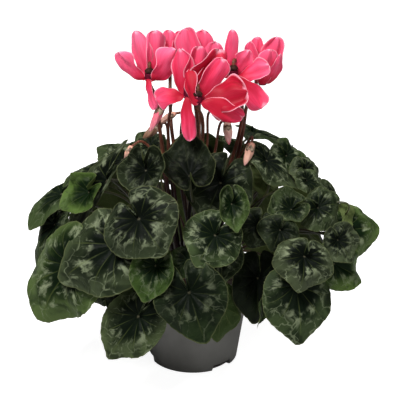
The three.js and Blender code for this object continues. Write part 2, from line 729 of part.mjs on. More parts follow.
function soil() {
  const { baseRadius, rimRadius, wall, floor, height } = POT;
  const slope = (rimRadius - baseRadius - 0.4) / (height - floor);
  const inner = (z) => baseRadius - wall + 0.4 + slope * (z - floor);
  const profile = [
    [0, floor],
    [inner(floor) - 2, floor],
    [inner(floor + 2) - SOIL_GAP, floor + 2],
    [inner(SOIL_TOP) - SOIL_GAP, SOIL_TOP],
    [36, SOIL_TOP + 1],
    [0, SOIL_TOP + 1],
  ];
  const bed = turned(profile, POT_SIDES).subtract(tuberBody(CLEARANCE));
  return sockets.reduce((body, hole) => body.subtract(hole), bed);
}

function tuber() {
  return sockets.reduce((body, hole) => body.subtract(hole), tuberBody(0));
}

// ---------------------------------------------------------------- meshes
// The triangles of a body's biggest connected part: a join can leave loose scraps smaller than a grain.
function biggestPart({ vertProperties, triVerts }) {
  const parent = Array.from({ length: vertProperties.length / 3 }, (_, i) => i);
  const top = (i) => {
    let at = i;
    while (parent[at] !== at) at = parent[at];
    return at;
  };
  const corners = Array.from({ length: triVerts.length / 3 }, (_, i) => [...triVerts.slice(3 * i, 3 * i + 3)]);
  for (const [a, b, c] of corners) {
    parent[top(b)] = top(a);
    parent[top(c)] = top(a);
  }
  const parts = Map.groupBy(corners, ([a]) => top(a));
  const biggest = [...parts.values()].reduce((a, b) => (b.length > a.length ? b : a));
  return biggest.flat();
}

function mesh(name, body, look) {
  const solids = body.getMesh();
  const geometry = new THREE.BufferGeometry();
  geometry.setAttribute('position', new THREE.BufferAttribute(solids.vertProperties, 3));
  geometry.setIndex(biggestPart(solids));
  geometry.computeVertexNormals();
  const part = new THREE.Mesh(geometry, new THREE.MeshStandardMaterial(look));
  part.name = name;
  return part;
}

// ---------------------------------------------------------------- colours and finishes
const LOOKS = {
  pot: { color: 0x5d5a58, roughness: 0.55, metalness: 0 },
  soil: { color: 0x2c221b, roughness: 0.95, metalness: 0 },
  tuber: { color: 0x5a4334, roughness: 0.85, metalness: 0 },
  leaf: { color: 0x3f5c45, roughness: 0.5, metalness: 0 },
  stalk: { color: 0x4b2d2a, roughness: 0.5, metalness: 0 },
  petal: { color: 0xd84a70, roughness: 0.45, metalness: 0 },
  bud: { color: 0xe3b7a4, roughness: 0.5, metalness: 0 },
};

// ---------------------------------------------------------------- assembly
const plant = new THREE.Group();

// Blooms and buds take the inner sockets first, then the leaves from the crown's middle outward.
const bloomStalks = BLOOMS.map(bloomStalk);
BLOOMS.forEach((bloom, i) => {
  plant.add(mesh(`${bloom.name}_stalk`, bloomStalks[i].body, LOOKS.stalk));
  plant.add(mesh(`${bloom.name}_corolla`, corolla(bloom, bloomStalks[i].sleeve), LOOKS.petal));
});
for (const spec of BUDS) {
  plant.add(mesh(spec.name, bud(spec), LOOKS.bud));
}
// Leaves that grow `with` another share its root and its node.
for (const first of LEAVES.filter((spec) => !spec.with)) {
  const root = takeSocket(first.at, STALK_RADIUS);
  const family = LEAVES.filter((spec) => spec === first || spec.with === first.name);
  const body = family.map((spec) => leaf(spec, root)).reduce((a, b) => a.add(b));
  plant.add(mesh(`leaf_${first.name}`, body, LOOKS.leaf));
}
plant.add(mesh('tuber', tuber(), LOOKS.tuber));
plant.add(mesh('soil', soil(), LOOKS.soil));
plant.add(mesh('pot', pot(), LOOKS.pot));

export default plant;
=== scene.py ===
"""Dressed model of a potted cyclamen: marbled leaves, nodding blooms, buds, tuber and compost in a pot.

Lengths are millimetres in the tables and the shape functions, and metres in the meshes. The pot's axis is Z
and the plant's front is -Y. Every surface is worked out with numpy, as a grid of two parameters or as a
profile carried along a path.
"""
import math

import bpy
import numpy as np
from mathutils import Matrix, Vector


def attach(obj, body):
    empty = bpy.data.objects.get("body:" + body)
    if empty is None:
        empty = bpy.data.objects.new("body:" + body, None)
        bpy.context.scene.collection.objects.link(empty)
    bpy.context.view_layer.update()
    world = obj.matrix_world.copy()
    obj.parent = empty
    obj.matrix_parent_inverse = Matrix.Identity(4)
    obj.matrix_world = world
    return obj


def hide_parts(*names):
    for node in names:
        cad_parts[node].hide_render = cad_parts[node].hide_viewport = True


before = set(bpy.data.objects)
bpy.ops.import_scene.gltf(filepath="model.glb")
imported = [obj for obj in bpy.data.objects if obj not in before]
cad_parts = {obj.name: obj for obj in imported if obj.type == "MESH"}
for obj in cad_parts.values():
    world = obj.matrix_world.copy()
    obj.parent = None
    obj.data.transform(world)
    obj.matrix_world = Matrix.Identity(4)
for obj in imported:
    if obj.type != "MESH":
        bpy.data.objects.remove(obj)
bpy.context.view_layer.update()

# ------------------------------------------------------------------ sizes
# Millimetres, apart from counts: sides, rings, sectors, rows and columns are how finely a surface is divided.
# first is the first notch's turn in degrees, lean how far below its foot a socket's axis meets the tuber's,
# and crown how much lower the tuber's upper side is at its edge than at its middle.
MM = 0.001
POT = dict(height=100, base=45, rim=60, wall=1.6, floor=2.5, lip=2.4, lip_height=8, sides=240)
DRAIN = dict(count=3, first=-49, width=24, height=6, back=40)
SOIL = dict(top=87, clearance=0.5, rings=60, sides=180)
TUBER = dict(radius=31, bottom=72, top=99, crown=10, sides=120)
SOCKET = dict(depth=6, straight=15, spacing=3.35, lean=55, count=68)
STALK = dict(radius=1.5, taper=0.32, branch=0.2, sides=10)
BLOOM_STALK = dict(radius=1.9, taper=0.26, hook=7.5, sides=12)
BUD_STALK = dict(radius=1.3, sides=12)
BLADE = dict(thickness=0.5, rings=20, sectors=88, veins=11, teeth=17)
OUTLINE_WIDTH = 1.31  # full width of the heart-shaped outline, where joint to tip is about one
PETAL = dict(thickness=0.5, root=1.9, layer=2.5, rows=26, columns=13)
THROAT = dict(radius=4.4, height=7, sides=24)
CALYX = dict(above=12, radius=4.3, length=4.6, rows=7, sides=30)
SPINDLE = dict(rows=24, sides=30, twist=2.2)
GOLDEN = 137.508  # golden angle, degrees

# Each leaf: joint of blade and stalk, the way the blade looks (turn from the front, lift), its tip's turn
# from straight downhill, length from joint to tip, full width, roll of its left and right halves, bend and
# margin wave. Where given, lobe is how far the part behind the joint is drawn out, curl how far the margin
# turns up and sway how far the stalk bows sideways. A leaf with a family shares the root and the piece of the
# leaf that the family is named after.
LEAVES = [
    dict(name="far_left_low", at=(-117, -85, 138), faces=(-35, 15), turn=-25,
         length=68, width=86, roll=(-20, -15), bend=-15, wave=3, sway=5),
    dict(name="far_left_mid", family="upper_left", at=(-136, -30, 158), faces=(-50, 30), turn=-6,
         length=42, width=50, roll=(-20, -20), bend=-10, wave=2),
    dict(name="left_big", at=(-70, -112, 172), faces=(-25, 30), turn=-51,
         length=68, width=84, roll=(-20, -15), bend=-15, wave=3, lobe=0.5),
    dict(name="upper_left", at=(-93, -12, 206), faces=(-40, 62), turn=-37,
         length=39, width=44, roll=(-20, 20), bend=-10, wave=2),
    dict(name="left_under", family="upper_left", at=(-99, -58, 203), faces=(-40, 30), turn=-40,
         length=30, width=42, roll=(25, 25), bend=5, wave=3, curl=0.12),
    dict(name="far_left_tip", family="upper_left", at=(-129, -20, 186), faces=(-50, 62), turn=-11,
         length=44, width=42, roll=(-20, -20), bend=-20, wave=2),
    dict(name="left_strip", at=(-82, -50, 212), faces=(-60, 32), turn=-16,
         length=71, width=44, roll=(45, 45), bend=-5, wave=2),
    dict(name="left_heart", at=(-49, -126, 204), faces=(-10, 35), turn=40,
         length=39, width=76, roll=(-15, -15), bend=-15, wave=3),
    dict(name="teal_cup", at=(-44, -70, 230), faces=(-15, 45), turn=7,
         length=35, width=48, roll=(12, 35), bend=10, wave=3, curl=0.2),
    dict(name="top_dark", at=(-3, -58, 219), faces=(0, 60), turn=-172,
         length=41, width=54, roll=(20, 20), bend=10, wave=3, curl=0.16),
    dict(name="centre_upper", at=(27, -38, 205), faces=(5, 42), turn=-25,
         length=42, width=70, roll=(-10, -10), bend=-20, wave=3, curl=0.1),
    dict(name="young_curl", at=(36, -112, 213), faces=(10, 30), turn=1,
         length=28, width=31, roll=(45, 45), bend=10, wave=3, sway=8, curl=0.22),
    dict(name="centre_heart", at=(21, -120, 185), faces=(5, 35), turn=-34,
         length=32, width=58, roll=(-10, -10), bend=-10, wave=3, curl=0.06),
    dict(name="mid_right_a", at=(62, -92, 184), faces=(10, 30), turn=-25,
         length=23, width=42, roll=(-10, -10), bend=-10, wave=2),
    dict(name="mid_right_b", family="mid_right_a", at=(82, -98, 181), faces=(10, 30), turn=-27,
         length=21, width=42, roll=(-10, -10), bend=-10, wave=2),
    dict(name="centre_low", at=(27, -112, 164), faces=(5, 20), turn=-2,
         length=27, width=42, roll=(-10, -10), bend=-10, wave=2, sway=7, curl=0.14),
    dict(name="olive_edge", family="left_cup", at=(-3, -113, 156), faces=(-10, 60), turn=-128,
         length=25, width=38, roll=(-20, -20), bend=-20, wave=2, curl=-0.1),
    dict(name="left_cup", at=(-34, -128, 158), faces=(-10, 25), turn=-11,
         length=35, width=42, roll=(25, 25), bend=5, wave=2, sway=10, curl=0.2),
    dict(name="front_big", at=(-3, -141, 137), faces=(-5, 18), turn=20,
         length=46, width=70, roll=(-15, -15), bend=-10, wave=4),
    dict(name="front_left_low", at=(-51, -118, 101), faces=(-15, 15), turn=-32,
         length=53, width=59, roll=(-15, -15), bend=-10, wave=3, sway=4),
    dict(name="left_low_dark", at=(-62, -100, 118), faces=(-15, 15), turn=-16,
         length=30, width=46, roll=(-10, -10), bend=-10, wave=2),
    dict(name="front_under", at=(28, -108, 107), faces=(200, -20), turn=10,
         length=36, width=44, roll=(20, 20), bend=10, wave=2, curl=0.1),
    dict(name="right_low_dark", at=(62, -88, 127), faces=(15, 15), turn=-6,
         length=43, width=52, roll=(-10, -10), bend=-5, wave=2),
    dict(name="brown_sliver", family="right_low_dark", at=(67, -90, 104), faces=(70, 10), turn=-60,
         length=30, width=22, roll=(40, 40), bend=0, wave=1),
    dict(name="right_low_big", at=(98, -108, 128), faces=(15, 15), turn=1,
         length=55, width=71, roll=(-15, -15), bend=-10, wave=3, lobe=0.6),
    dict(name="right_mid", at=(104, -118, 163), faces=(20, 25), turn=-18,
         length=33, width=60, roll=(-50, -8), bend=-10, wave=3, lobe=0.8, sway=-8),
    dict(name="right_grey", at=(138, -80, 163), faces=(25, 30), turn=19,
         length=23, width=42, roll=(-10, -10), bend=-10, wave=2, sway=-8, curl=0.1),
    dict(name="right_fold", family="right_grey", at=(148, -48, 176), faces=(210, -30), turn=31,
         length=19, width=24, roll=(20, 20), bend=0, wave=1, sway=0),
    dict(name="right_bright", at=(135, -82, 139), faces=(35, 15), turn=53,
         length=42, width=46, roll=(-15, -15), bend=-10, wave=3),
    dict(name="far_right", at=(147, -50, 160), faces=(40, 30), turn=79,
         length=46, width=56, roll=(-10, -15), bend=-15, wave=3),
    dict(name="right_cup", at=(94, -70, 190), faces=(10, 52), turn=-79,
         length=25, width=40, roll=(25, 25), bend=5, wave=2, curl=0.16),
    dict(name="right_upper", family="right_cup", at=(120, -58, 187), faces=(25, 46), turn=42,
         length=24, width=54, roll=(-10, -10), bend=-20, wave=2),
    dict(name="upper_right_long", at=(71, -30, 225), faces=(30, 45), turn=31,
         length=40, width=32, roll=(-20, -20), bend=-10, wave=2),
    dict(name="upper_right_round", at=(91, -14, 224), faces=(40, 40), turn=21,
         length=27, width=40, roll=(-15, -15), bend=-10, wave=2, sway=-4),
    dict(name="shoulder_right_a", family="upper_right_round", at=(108, -22, 212), faces=(50, 40), turn=11,
         length=24, width=40, roll=(-10, -10), bend=-10, wave=2),
    dict(name="shoulder_right_b", family="upper_right_round", at=(110, -38, 207), faces=(45, 40), turn=57,
         length=22, width=30, roll=(-20, -10), bend=-10, wave=2),
    dict(name="top_right_edge", at=(61, 50, 224), faces=(110, 66), turn=-10,
         length=50, width=50, roll=(-8, -8), bend=0, wave=1, lobe=0.6),
    dict(name="upper_right_under", family="upper_right_round", at=(71, -4, 197), faces=(200, -30), turn=162,
         length=29, width=34, roll=(20, 20), bend=10, wave=2),
    dict(name="upper_left_fold", at=(-70, 4, 213), faces=(-40, 45), turn=-97,
         length=34, width=34, roll=(-10, 35), bend=0, wave=2),
    dict(name="top_left_dark", family="upper_left_fold", at=(-42, 24, 220), faces=(0, 60), turn=-139,
         length=22, width=38, roll=(-10, -10), bend=-10, wave=2),
    dict(name="left_low_grey", at=(-85, -84, 114), faces=(-20, 25), turn=-45,
         length=19, width=34, roll=(-15, -15), bend=-15, wave=2, sway=-14),
    dict(name="back_left", at=(-88, 50, 168), faces=(-130, 30), turn=0,
         length=58, width=84, roll=(-10, -10), bend=-15, wave=3),
    dict(name="back_left_low", family="back_left", at=(-75, 112, 120), faces=(-150, 15), turn=10,
         length=46, width=64, roll=(-15, -15), bend=-10, wave=3),
    dict(name="back_left_top", family="back_left", at=(-50, 62, 205), faces=(-150, 55), turn=0,
         length=40, width=56, roll=(-10, -10), bend=-15, wave=3),
    dict(name="back_middle", at=(-6, 103, 172), faces=(180, 52), turn=0,
         length=70, width=84, roll=(-10, -10), bend=-15, wave=3),
    dict(name="back_middle_low", family="back_middle", at=(-20, 134, 112), faces=(175, 15), turn=-10,
         length=58, width=72, roll=(-15, -15), bend=-10, wave=3),
    dict(name="back_middle_top", family="back_middle", at=(5, 72, 205), faces=(180, 50), turn=10,
         length=42, width=58, roll=(-10, -10), bend=-15, wave=3),
    dict(name="back_right", at=(64, 70, 156), faces=(145, 30), turn=0,
         length=60, width=82, roll=(-10, -10), bend=-15, wave=3),
    dict(name="back_right_low", family="back_right", at=(78, 92, 104), faces=(150, 10), turn=10,
         length=50, width=70, roll=(-15, -15), bend=-10, wave=3),
    dict(name="back_right_top", family="back_right", at=(45, 78, 198), faces=(140, 50), turn=0,
         length=38, width=54, roll=(-10, -10), bend=-15, wave=3),
    dict(name="side_right", at=(140, 24, 158), faces=(95, 25), turn=0,
         length=48, width=62, roll=(-10, -10), bend=-15, wave=3),
    dict(name="side_right_top", family="side_right", at=(104, 50, 190), faces=(120, 30), turn=0,
         length=42, width=62, roll=(-10, -10), bend=-10, wave=3),
    dict(name="side_right_low", family="side_right", at=(122, 64, 110), faces=(115, 15), turn=10,
         length=46, width=62, roll=(-15, -15), bend=-10, wave=3),
    dict(name="side_left", family="back_left", at=(-138, 25, 150), faces=(-100, 25), turn=0,
         length=46, width=62, roll=(-10, -10), bend=-15, wave=3),
]

# How a leaf differs from a plain one: tone is how light it is, silver how strong its marbling, olive how
# yellow-green its upper face, under how light its underside, partly its own colour and partly painted light
# that comes through it from behind, shade how much painted shade darkens it all over, where it stands in
# the shade of other leaves.
PLAIN = dict(tone=0.36, silver=0.6, olive=0.2, under=0.4, shade=0)
LOOKS = dict(
    far_left_low=dict(tone=1.3, silver=1.0, olive=0.7),
    far_left_mid=dict(tone=0.36, silver=0.4, olive=0.3),
    left_big=dict(tone=0.43, silver=0.95, olive=0.1),
    upper_left=dict(tone=0.36, silver=0.5, olive=0.25),
    left_under=dict(tone=1.0, silver=0.05, olive=1.0),
    far_left_tip=dict(tone=0.43, silver=0.3, olive=0.45),
    left_strip=dict(tone=0.43, silver=0.7, olive=0.0),
    left_heart=dict(tone=0.25, silver=0.85, olive=0.0, shade=0.22),
    teal_cup=dict(tone=0.25, silver=0.5, olive=0.0, under=0.6, shade=0.48),
    top_dark=dict(tone=0.18, silver=0.4, olive=0.0, shade=0.75),
    centre_upper=dict(tone=0.25, silver=0.6, olive=0.05, shade=0.4),
    young_curl=dict(tone=0.61, silver=0.35, olive=0.7),
    centre_heart=dict(tone=0.36, silver=0.8, olive=0.35),
    centre_low=dict(tone=0.25, silver=0.45, olive=0.1, shade=0.2),
    mid_right_a=dict(tone=0.29, silver=0.3, shade=0.5),
    mid_right_b=dict(tone=0.29, silver=0.3, shade=0.45),
    left_low_dark=dict(tone=0.22, silver=0.3, shade=0.6),
    olive_edge=dict(tone=0.29, silver=0.2, olive=0.8, under=0.7),
    left_cup=dict(tone=0.43, silver=0.3, olive=0.9),
    front_big=dict(tone=0.08, silver=0.45, olive=0.4, shade=0.45),
    front_left_low=dict(tone=0.8, silver=0.6, olive=0.25),
    front_under=dict(under=0.15),
    right_low_dark=dict(tone=0.07, silver=0.05, shade=0.75),
    brown_sliver=dict(tone=0.36, silver=0.2, olive=0.6, under=0.8),
    right_low_big=dict(tone=0.29, silver=0.65, olive=0.3),
    right_mid=dict(tone=0.54, silver=0.8, olive=0.0),
    right_grey=dict(tone=0.43, silver=0.4, olive=0.0),
    right_fold=dict(under=0.5),
    right_bright=dict(tone=1.1, silver=0.45, olive=1.0),
    far_right=dict(tone=1.2, silver=0.7, olive=0.8),
    right_cup=dict(tone=0.43, silver=0.4, olive=0.3),
    upper_right_long=dict(tone=0.5, silver=0.8, olive=0.1),
    upper_right_round=dict(tone=0.4, silver=0.5, olive=0.5),
    shoulder_right_a=dict(tone=0.55, silver=0.5, olive=0.1),
    shoulder_right_b=dict(tone=0.5, silver=0.5, olive=0.2),
    top_right_edge=dict(tone=0.3, silver=0.4, olive=0.5),
    right_upper=dict(tone=0.47, silver=0.5, olive=0.2),
)

# Each bloom: its throat, the turn of its first petal round it, the side its stalk hooks over from, points its
# stalk goes by, how far the crimson of its petals reaches, and its petals, with the tip from the throat, the
# width, the way the broad side looks and, where it differs, the reach of the crimson.
BLOOMS = [
    dict(name="bloom_left", at=(-41, -25, 305), spin=-19, hook=180, depth=0.12,
         via=[(-32, -12, 250), (-35, -20, 285)], petals=[
             dict(tip=(6, -10, -26), width=9, face=(-20, 0)),
             dict(tip=(25, -6, 32), width=28, face=(25, 10)),
             dict(tip=(5, 4, 47), width=21, face=(20, 10)),
             dict(tip=(-13, 6, 46), width=20, face=(-10, 0), depth=0.0),
             dict(tip=(-28, -4, 29), width=17, face=(-30, 10)),
         ]),
    dict(name="bloom_back_left", at=(-23, 48, 290), spin=-7, hook=180, depth=0.15,
         via=[(-21, 15, 240), (-23, 46, 268)], petals=[
             dict(tip=(-5, -8, 16), width=18, face=(-20, 20)),
             dict(tip=(16, 2, 20), width=20, face=(40, 10)),
             dict(tip=(11, 8, 40), width=18, face=(20, 0)),
             dict(tip=(-1, 8, 41), width=18, face=(0, 0)),
             dict(tip=(-10, 4, 42), width=14, face=(-40, 0)),
         ]),
    dict(name="bloom_back_middle", at=(5, 35, 288), spin=48, hook=180, depth=0.15,
         via=[(6, 20, 240), (6, 38, 268)], petals=[
             dict(tip=(8, -6, 20), width=18, face=(10, 20)),
             dict(tip=(19, 6, 35), width=20, face=(30, 0)),
             dict(tip=(6, 6, 47), width=21, face=(10, 0)),
             dict(tip=(-8, 2, 25), width=18, face=(-60, 0)),
             dict(tip=(-12, 4, 51), width=23, face=(-10, 0)),
         ]),
    dict(name="bloom_front_left", at=(-4, -45, 294), spin=-12, hook=120, depth=0.32,
         via=[(4, -12, 235), (4, -30, 268)], petals=[
             dict(tip=(1, -8, -40), width=14, face=(0, 0)),
             dict(tip=(29, 0, 47), width=34, face=(5, 5), depth=0.7),
             dict(tip=(10, 8, 47), width=24, face=(0, 5)),
             dict(tip=(-8, 6, 45), width=22, face=(-20, 0)),
             dict(tip=(-31, -4, 0), width=19, face=(-10, 30)),
         ]),
    dict(name="bloom_front_middle", at=(5, -62, 294), spin=56, hook=180, depth=0.35,
         via=[(9, -14, 235), (9, -40, 272)], petals=[
             dict(tip=(42, 0, -14), width=22, face=(5, 0), depth=0.55),
             dict(tip=(46, -4, 13), width=33, face=(5, 15), depth=1.25),
             dict(tip=(24, 8, 40), width=22, face=(10, 0)),
             dict(tip=(9, 18, 30), width=16, face=(20, 0), depth=0.85),
             dict(tip=(-8, 18, 27), width=16, face=(-30, 0), depth=0.85),
         ]),
    dict(name="bloom_right", at=(39, -12, 304), spin=10, hook=160, depth=0.15,
         via=[(44, -6, 238), (48, -8, 270)], petals=[
             dict(tip=(27, -10, -28), width=24, face=(10, 0), depth=0.4),
             dict(tip=(34, -4, 13), width=20, face=(5, 30)),
             dict(tip=(15, 4, 25), width=18, face=(10, 0)),
             dict(tip=(-1, 2, 46), width=12, face=(10, 0)),
             dict(tip=(-12, 8, 15), width=14, face=(-50, 0)),
         ]),
    dict(name="bloom_far_right", at=(68, 8, 291), spin=-6, hook=240, depth=0.22,
         via=[(49, -2, 245), (53, 2, 271)], petals=[
             dict(tip=(6, -9, 38), width=18, face=(5, 0)),
             dict(tip=(16, -5, 31), width=18, face=(40, 0)),
             dict(tip=(14, 2, 46), width=21, face=(15, 0)),
             dict(tip=(-6, 6, 45), width=15, face=(0, 0)),
             dict(tip=(-12, 0, 43), width=13, face=(-30, 0)),
         ]),
]

# Each bud: its calyx, its tip, its thickness, the colouring of its petals and points its stalk goes by.
BUDS = [
    dict(name="bud_pink", at=(-28, -30, 283), tip=(-41, -34, 256), width=9, skin="pink",
         via=[(-24, -10, 250), (-21, -22, 284)]),
    dict(name="bud_peach_back", at=(-18, 2, 262), tip=(-35, -2, 253), width=7, skin="peach",
         via=[(-12, 4, 240), (-11, 3, 262)]),
    dict(name="bud_white", at=(33, -25, 262), tip=(35, -29, 241), width=9, skin="white",
         via=[(22, -18, 232), (28, -22, 262)]),
    dict(name="bud_peach_right", at=(57, -32, 243), tip=(50, -38, 223), width=9, skin="peach",
         via=[(36, -12, 200), (57, -16, 244)]),
    dict(name="bud_peach_left", at=(-60, -22, 236), tip=(-66, -30, 220), width=8, skin="peach",
         via=[(-30, -2, 205), (-50, -12, 238)]),
    dict(name="bud_slender", at=(18, -20, 273), tip=(26, -24, 263), width=5, skin="pink",
         via=[(14, -14, 235), (15, -17, 268)]),
    dict(name="spent_bloom", at=(-32, 6, 250), tip=(-49, 0, 237), width=10, skin="brown",
         via=[(-24, 6, 215), (-27, 8, 250)]),
]


# ------------------------------------------------------------------ vectors and curves
def unit(v):
    """v at length one, along the last axis."""
    return v / np.maximum(np.linalg.norm(v, axis=-1, keepdims=True), 1e-9)


def facing(azimuth, lift):
    """The direction `azimuth` degrees round from the front and `lift` degrees above level."""
    a = math.radians(azimuth)
    e = math.radians(lift)
    return np.array([math.sin(a) * math.cos(e), -math.cos(a) * math.cos(e), math.sin(e)])


def arc(q, k):
    """Distance forward and upward after going q along an arc that turns k radians a millimetre."""
    k = np.where(np.abs(k) < 1e-6, 1e-6, k)
    return np.sin(k * q) / k, (1 - np.cos(k * q)) / k


def smooth(x, low, high):
    """0 below low, 1 above high, and a cubic ease between."""
    t = np.clip((x - low) / (high - low), 0, 1)
    return t * t * (3 - 2 * t)


def hump(x, width):
    """A bell of height one at zero: e to the power of -(x / width)^2."""
    return np.exp(-((x / width) ** 2))


def turns(sides):
    """Angles of that many equal steps round a full turn."""
    return np.linspace(0, 2 * np.pi, sides, endpoint=False)


def through(points, steps):
    """Points on a centripetal Catmull-Rom curve: cubic pieces whose end slopes come from the neighbouring
    points, weighted by the square roots of the distances between them, in equal steps of piece number."""
    p = np.array(points, float)
    p = np.vstack([2 * p[0] - p[1], p, 2 * p[-1] - p[-2]])
    gap = np.sqrt(np.linalg.norm(np.diff(p, axis=0), axis=1))
    place = np.linspace(0, len(points) - 1, steps + 1)
    i = np.minimum(place.astype(int), len(points) - 2)
    t = (place - i)[:, None]
    g0, g1, g2 = (gap[i + k][:, None] for k in range(3))
    a, b, c, d = (p[i + k] for k in range(4))
    leave = ((b - a) / g0 - (c - a) / (g0 + g1) + (c - b) / g1) * g1
    arrive = ((c - b) / g1 - (d - b) / (g1 + g2) + (d - c) / g2) * g1
    square = 3 * (c - b) - 2 * leave - arrive
    cube = 2 * (b - c) + leave + arrive
    return b + leave * t + square * t**2 + cube * t**3


# ------------------------------------------------------------------ meshes
def part_of(points, triangles, uv, slots, values):
    """A part whose face slots and point values may be given as one number for all."""
    return dict(
        points=points,
        triangles=triangles,
        uv=uv,
        slots=np.broadcast_to(slots, len(triangles)),
        values={k: np.broadcast_to(np.asarray(v, float), len(points)) for k, v in values.items()},
    )


def join(parts):
    """One part from several: points, triangles, uv, face slots and point values laid end to end."""
    offsets = np.cumsum([0] + [len(p["points"]) for p in parts[:-1]])
    keys = parts[0]["values"]
    return dict(
        points=np.vstack([p["points"] for p in parts]),
        triangles=np.vstack([p["triangles"] + o for p, o in zip(parts, offsets)]),
        uv=np.vstack([p["uv"] for p in parts]),
        slots=np.concatenate([p["slots"] for p in parts]),
        values={k: np.concatenate([p["values"][k] for p in parts]) for k in keys},
    )


def piece(name, part, materials, node):
    """A mesh object of one part, which rides on the body and takes the place of a solid."""
    points = part["points"] * MM
    triangles = part["triangles"].astype(np.int32)
    count = len(triangles)
    mesh = bpy.data.meshes.new(name)
    mesh.vertices.add(len(points))
    mesh.vertices.foreach_set("co", points.ravel())
    mesh.loops.add(3 * count)
    mesh.loops.foreach_set("vertex_index", triangles.ravel())
    mesh.polygons.add(count)
    mesh.polygons.foreach_set("loop_start", np.arange(0, 3 * count, 3, dtype=np.int32))
    mesh.polygons.foreach_set("material_index", part["slots"].astype(np.int32))
    mesh.polygons.foreach_set("use_smooth", np.ones(count, dtype=bool))
    mesh.update(calc_edges=True)
    mesh.uv_layers.new(name="UVMap").data.foreach_set("uv", part["uv"][triangles].ravel())
    for key, value in part["values"].items():
        mesh.attributes.new(key, "FLOAT", "POINT").data.foreach_set("value", value.astype(np.float32))
    for material in materials:
        mesh.materials.append(material)
    obj = bpy.data.objects.new(name, mesh)
    bpy.context.scene.collection.objects.link(obj)
    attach(obj, "root")
    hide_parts(node)


def quads(rows, columns, wrap=False):
    """Two triangles for each cell of a grid of rows by columns; wrap joins the last column to the first."""
    i, j = np.meshgrid(np.arange(rows - 1), np.arange(columns if wrap else columns - 1), indexing="ij")
    a = (i * columns + j).ravel()
    b = (i * columns + (j + 1) % columns).ravel()
    c = b + columns
    d = a + columns
    return np.vstack([np.stack([a, b, c], 1), np.stack([a, c, d], 1)])


def capped(grid, ends, slot=0, values=None):
    """A grid of rows that each go round a full turn, closed by a point at its first and at its last row. uv
    is (share of the turn, share of the rows)."""
    rows, sides = grid.shape[:2]
    count = rows * sides
    k = np.arange(sides)
    after = (k + 1) % sides
    last = count - sides
    start = np.stack([np.full(sides, count), after, k], 1)
    end = np.stack([np.full(sides, count + 1), last + k, last + after], 1)
    uv = np.stack(np.meshgrid(k / sides, np.linspace(0, 1, rows)), -1)
    return part_of(
        np.vstack([grid.reshape(-1, 3), ends]),
        np.vstack([quads(rows, sides, True), start, end]),
        np.vstack([uv.reshape(-1, 2), [[0.5, 0], [0.5, 1]]]),
        slot,
        values or {},
    )


def tube(path, radii, across, slot=0, values=None):
    """A rod: at each point of the path a ring square to the path, which starts at the side `across`. radii
    has a row for each point and a column for each side."""
    along = unit(np.gradient(path, axis=0))
    u = unit(across - along * (along @ across)[:, None])
    v = np.cross(along, u)
    turn = turns(radii.shape[1])[:, None]
    ring = u[:, None] * np.cos(turn) + v[:, None] * np.sin(turn)
    return capped(path[:, None] + ring * radii[..., None], path[[0, -1]], slot, values)


def turned(radii, heights, sides, at=(0, 0, 0), slot=0, values=None):
    """A surface turned round the vertical through `at`. radii and heights are profiles, or grids of profile
    by turn, that start and end on the axis."""
    turn = turns(sides)
    radii, heights = (np.reshape(column, (len(column), -1)) for column in (radii, heights))
    grid = np.stack(np.broadcast_arrays(radii * np.cos(turn), radii * np.sin(turn), heights), -1) + at
    return capped(grid[1:-1], grid[[0, -1], 0], slot, values)


def sheet(points, triangles, rim, thickness, uv, slots, values):
    """A thin closed sheet: each point goes half its thickness to both sides along the sheet's own normal, and
    the front and back are joined round the rim. slots are those of the front, the back and the rim."""
    a, b, c = (points[triangles[:, k]] for k in range(3))
    face = np.cross(b - a, c - a)
    normal = np.zeros_like(points)
    for k in range(3):
        np.add.at(normal, triangles[:, k], face)
    shift = unit(normal) * thickness[:, None] / 2
    n = len(points)
    after = np.roll(rim, -1)
    edge = np.vstack([np.stack([rim, n + rim, n + after], 1), np.stack([rim, n + after, after], 1)])
    faces = [triangles, n + triangles[:, ::-1], edge]
    return part_of(
        np.vstack([points + shift, points - shift]),
        np.vstack(faces),
        np.vstack([uv, uv]),
        np.concatenate([np.full(len(f), s) for f, s in zip(faces, slots)]),
        {k: np.tile(np.broadcast_to(v, n), 2) for k, v in values.items()},
    )


# ------------------------------------------------------------------ stalks and their sockets in the tuber
def tuber_top(r):
    """Height of the tuber's upper side r millimetres from its axis."""
    return TUBER["top"] - TUBER["crown"] * (r / TUBER["radius"]) ** 2


def spiral_spot(k):
    """Place of the k-th socket on the golden-angle spiral."""
    r = SOCKET["spacing"] * math.sqrt(k + 0.4)
    a = math.radians(GOLDEN * k)
    return np.array([r * math.cos(a), r * math.sin(a)])


free_spots = [spiral_spot(k) for k in range(SOCKET["count"])]


def take_socket(target):
    """The free socket nearest to a fifth of the way to the target, 25 mm at most: its foot, its upper end,
    its axis, which leans outwards, and its side."""
    target = np.array(target[:2], float)
    reach = np.linalg.norm(target)
    wanted = target * min(25, 0.2 * reach) / max(reach, 1)
    nearest = min(range(len(free_spots)), key=lambda k: np.linalg.norm(free_spots[k] - wanted))
    x, y = free_spots.pop(nearest)
    foot = np.array([x, y, tuber_top(math.hypot(x, y)) - SOCKET["depth"]])
    along = unit(np.array([x / SOCKET["lean"], y / SOCKET["lean"], 1]))
    across = unit(np.array([-y - 0.01, x, 0]))
    return dict(foot=foot, end=foot + SOCKET["straight"] * along, along=along, across=across)


def tapered(path, root, size, slot=0, values=None):
    """A stalk along the path, which thins evenly from its radius by its taper."""
    radii = size["radius"] - size.get("taper", 0) * np.linspace(0, 1, len(path))
    return tube(path, np.tile(radii[:, None], size["sides"]), root["across"], slot, values)


def rising(root, knots, steps):
    """A path from the root's foot, straight up out of the socket and on through the knots."""
    end = root["end"]
    return np.vstack([root["foot"], through([end, end + 20 * root["along"], *knots], steps)])


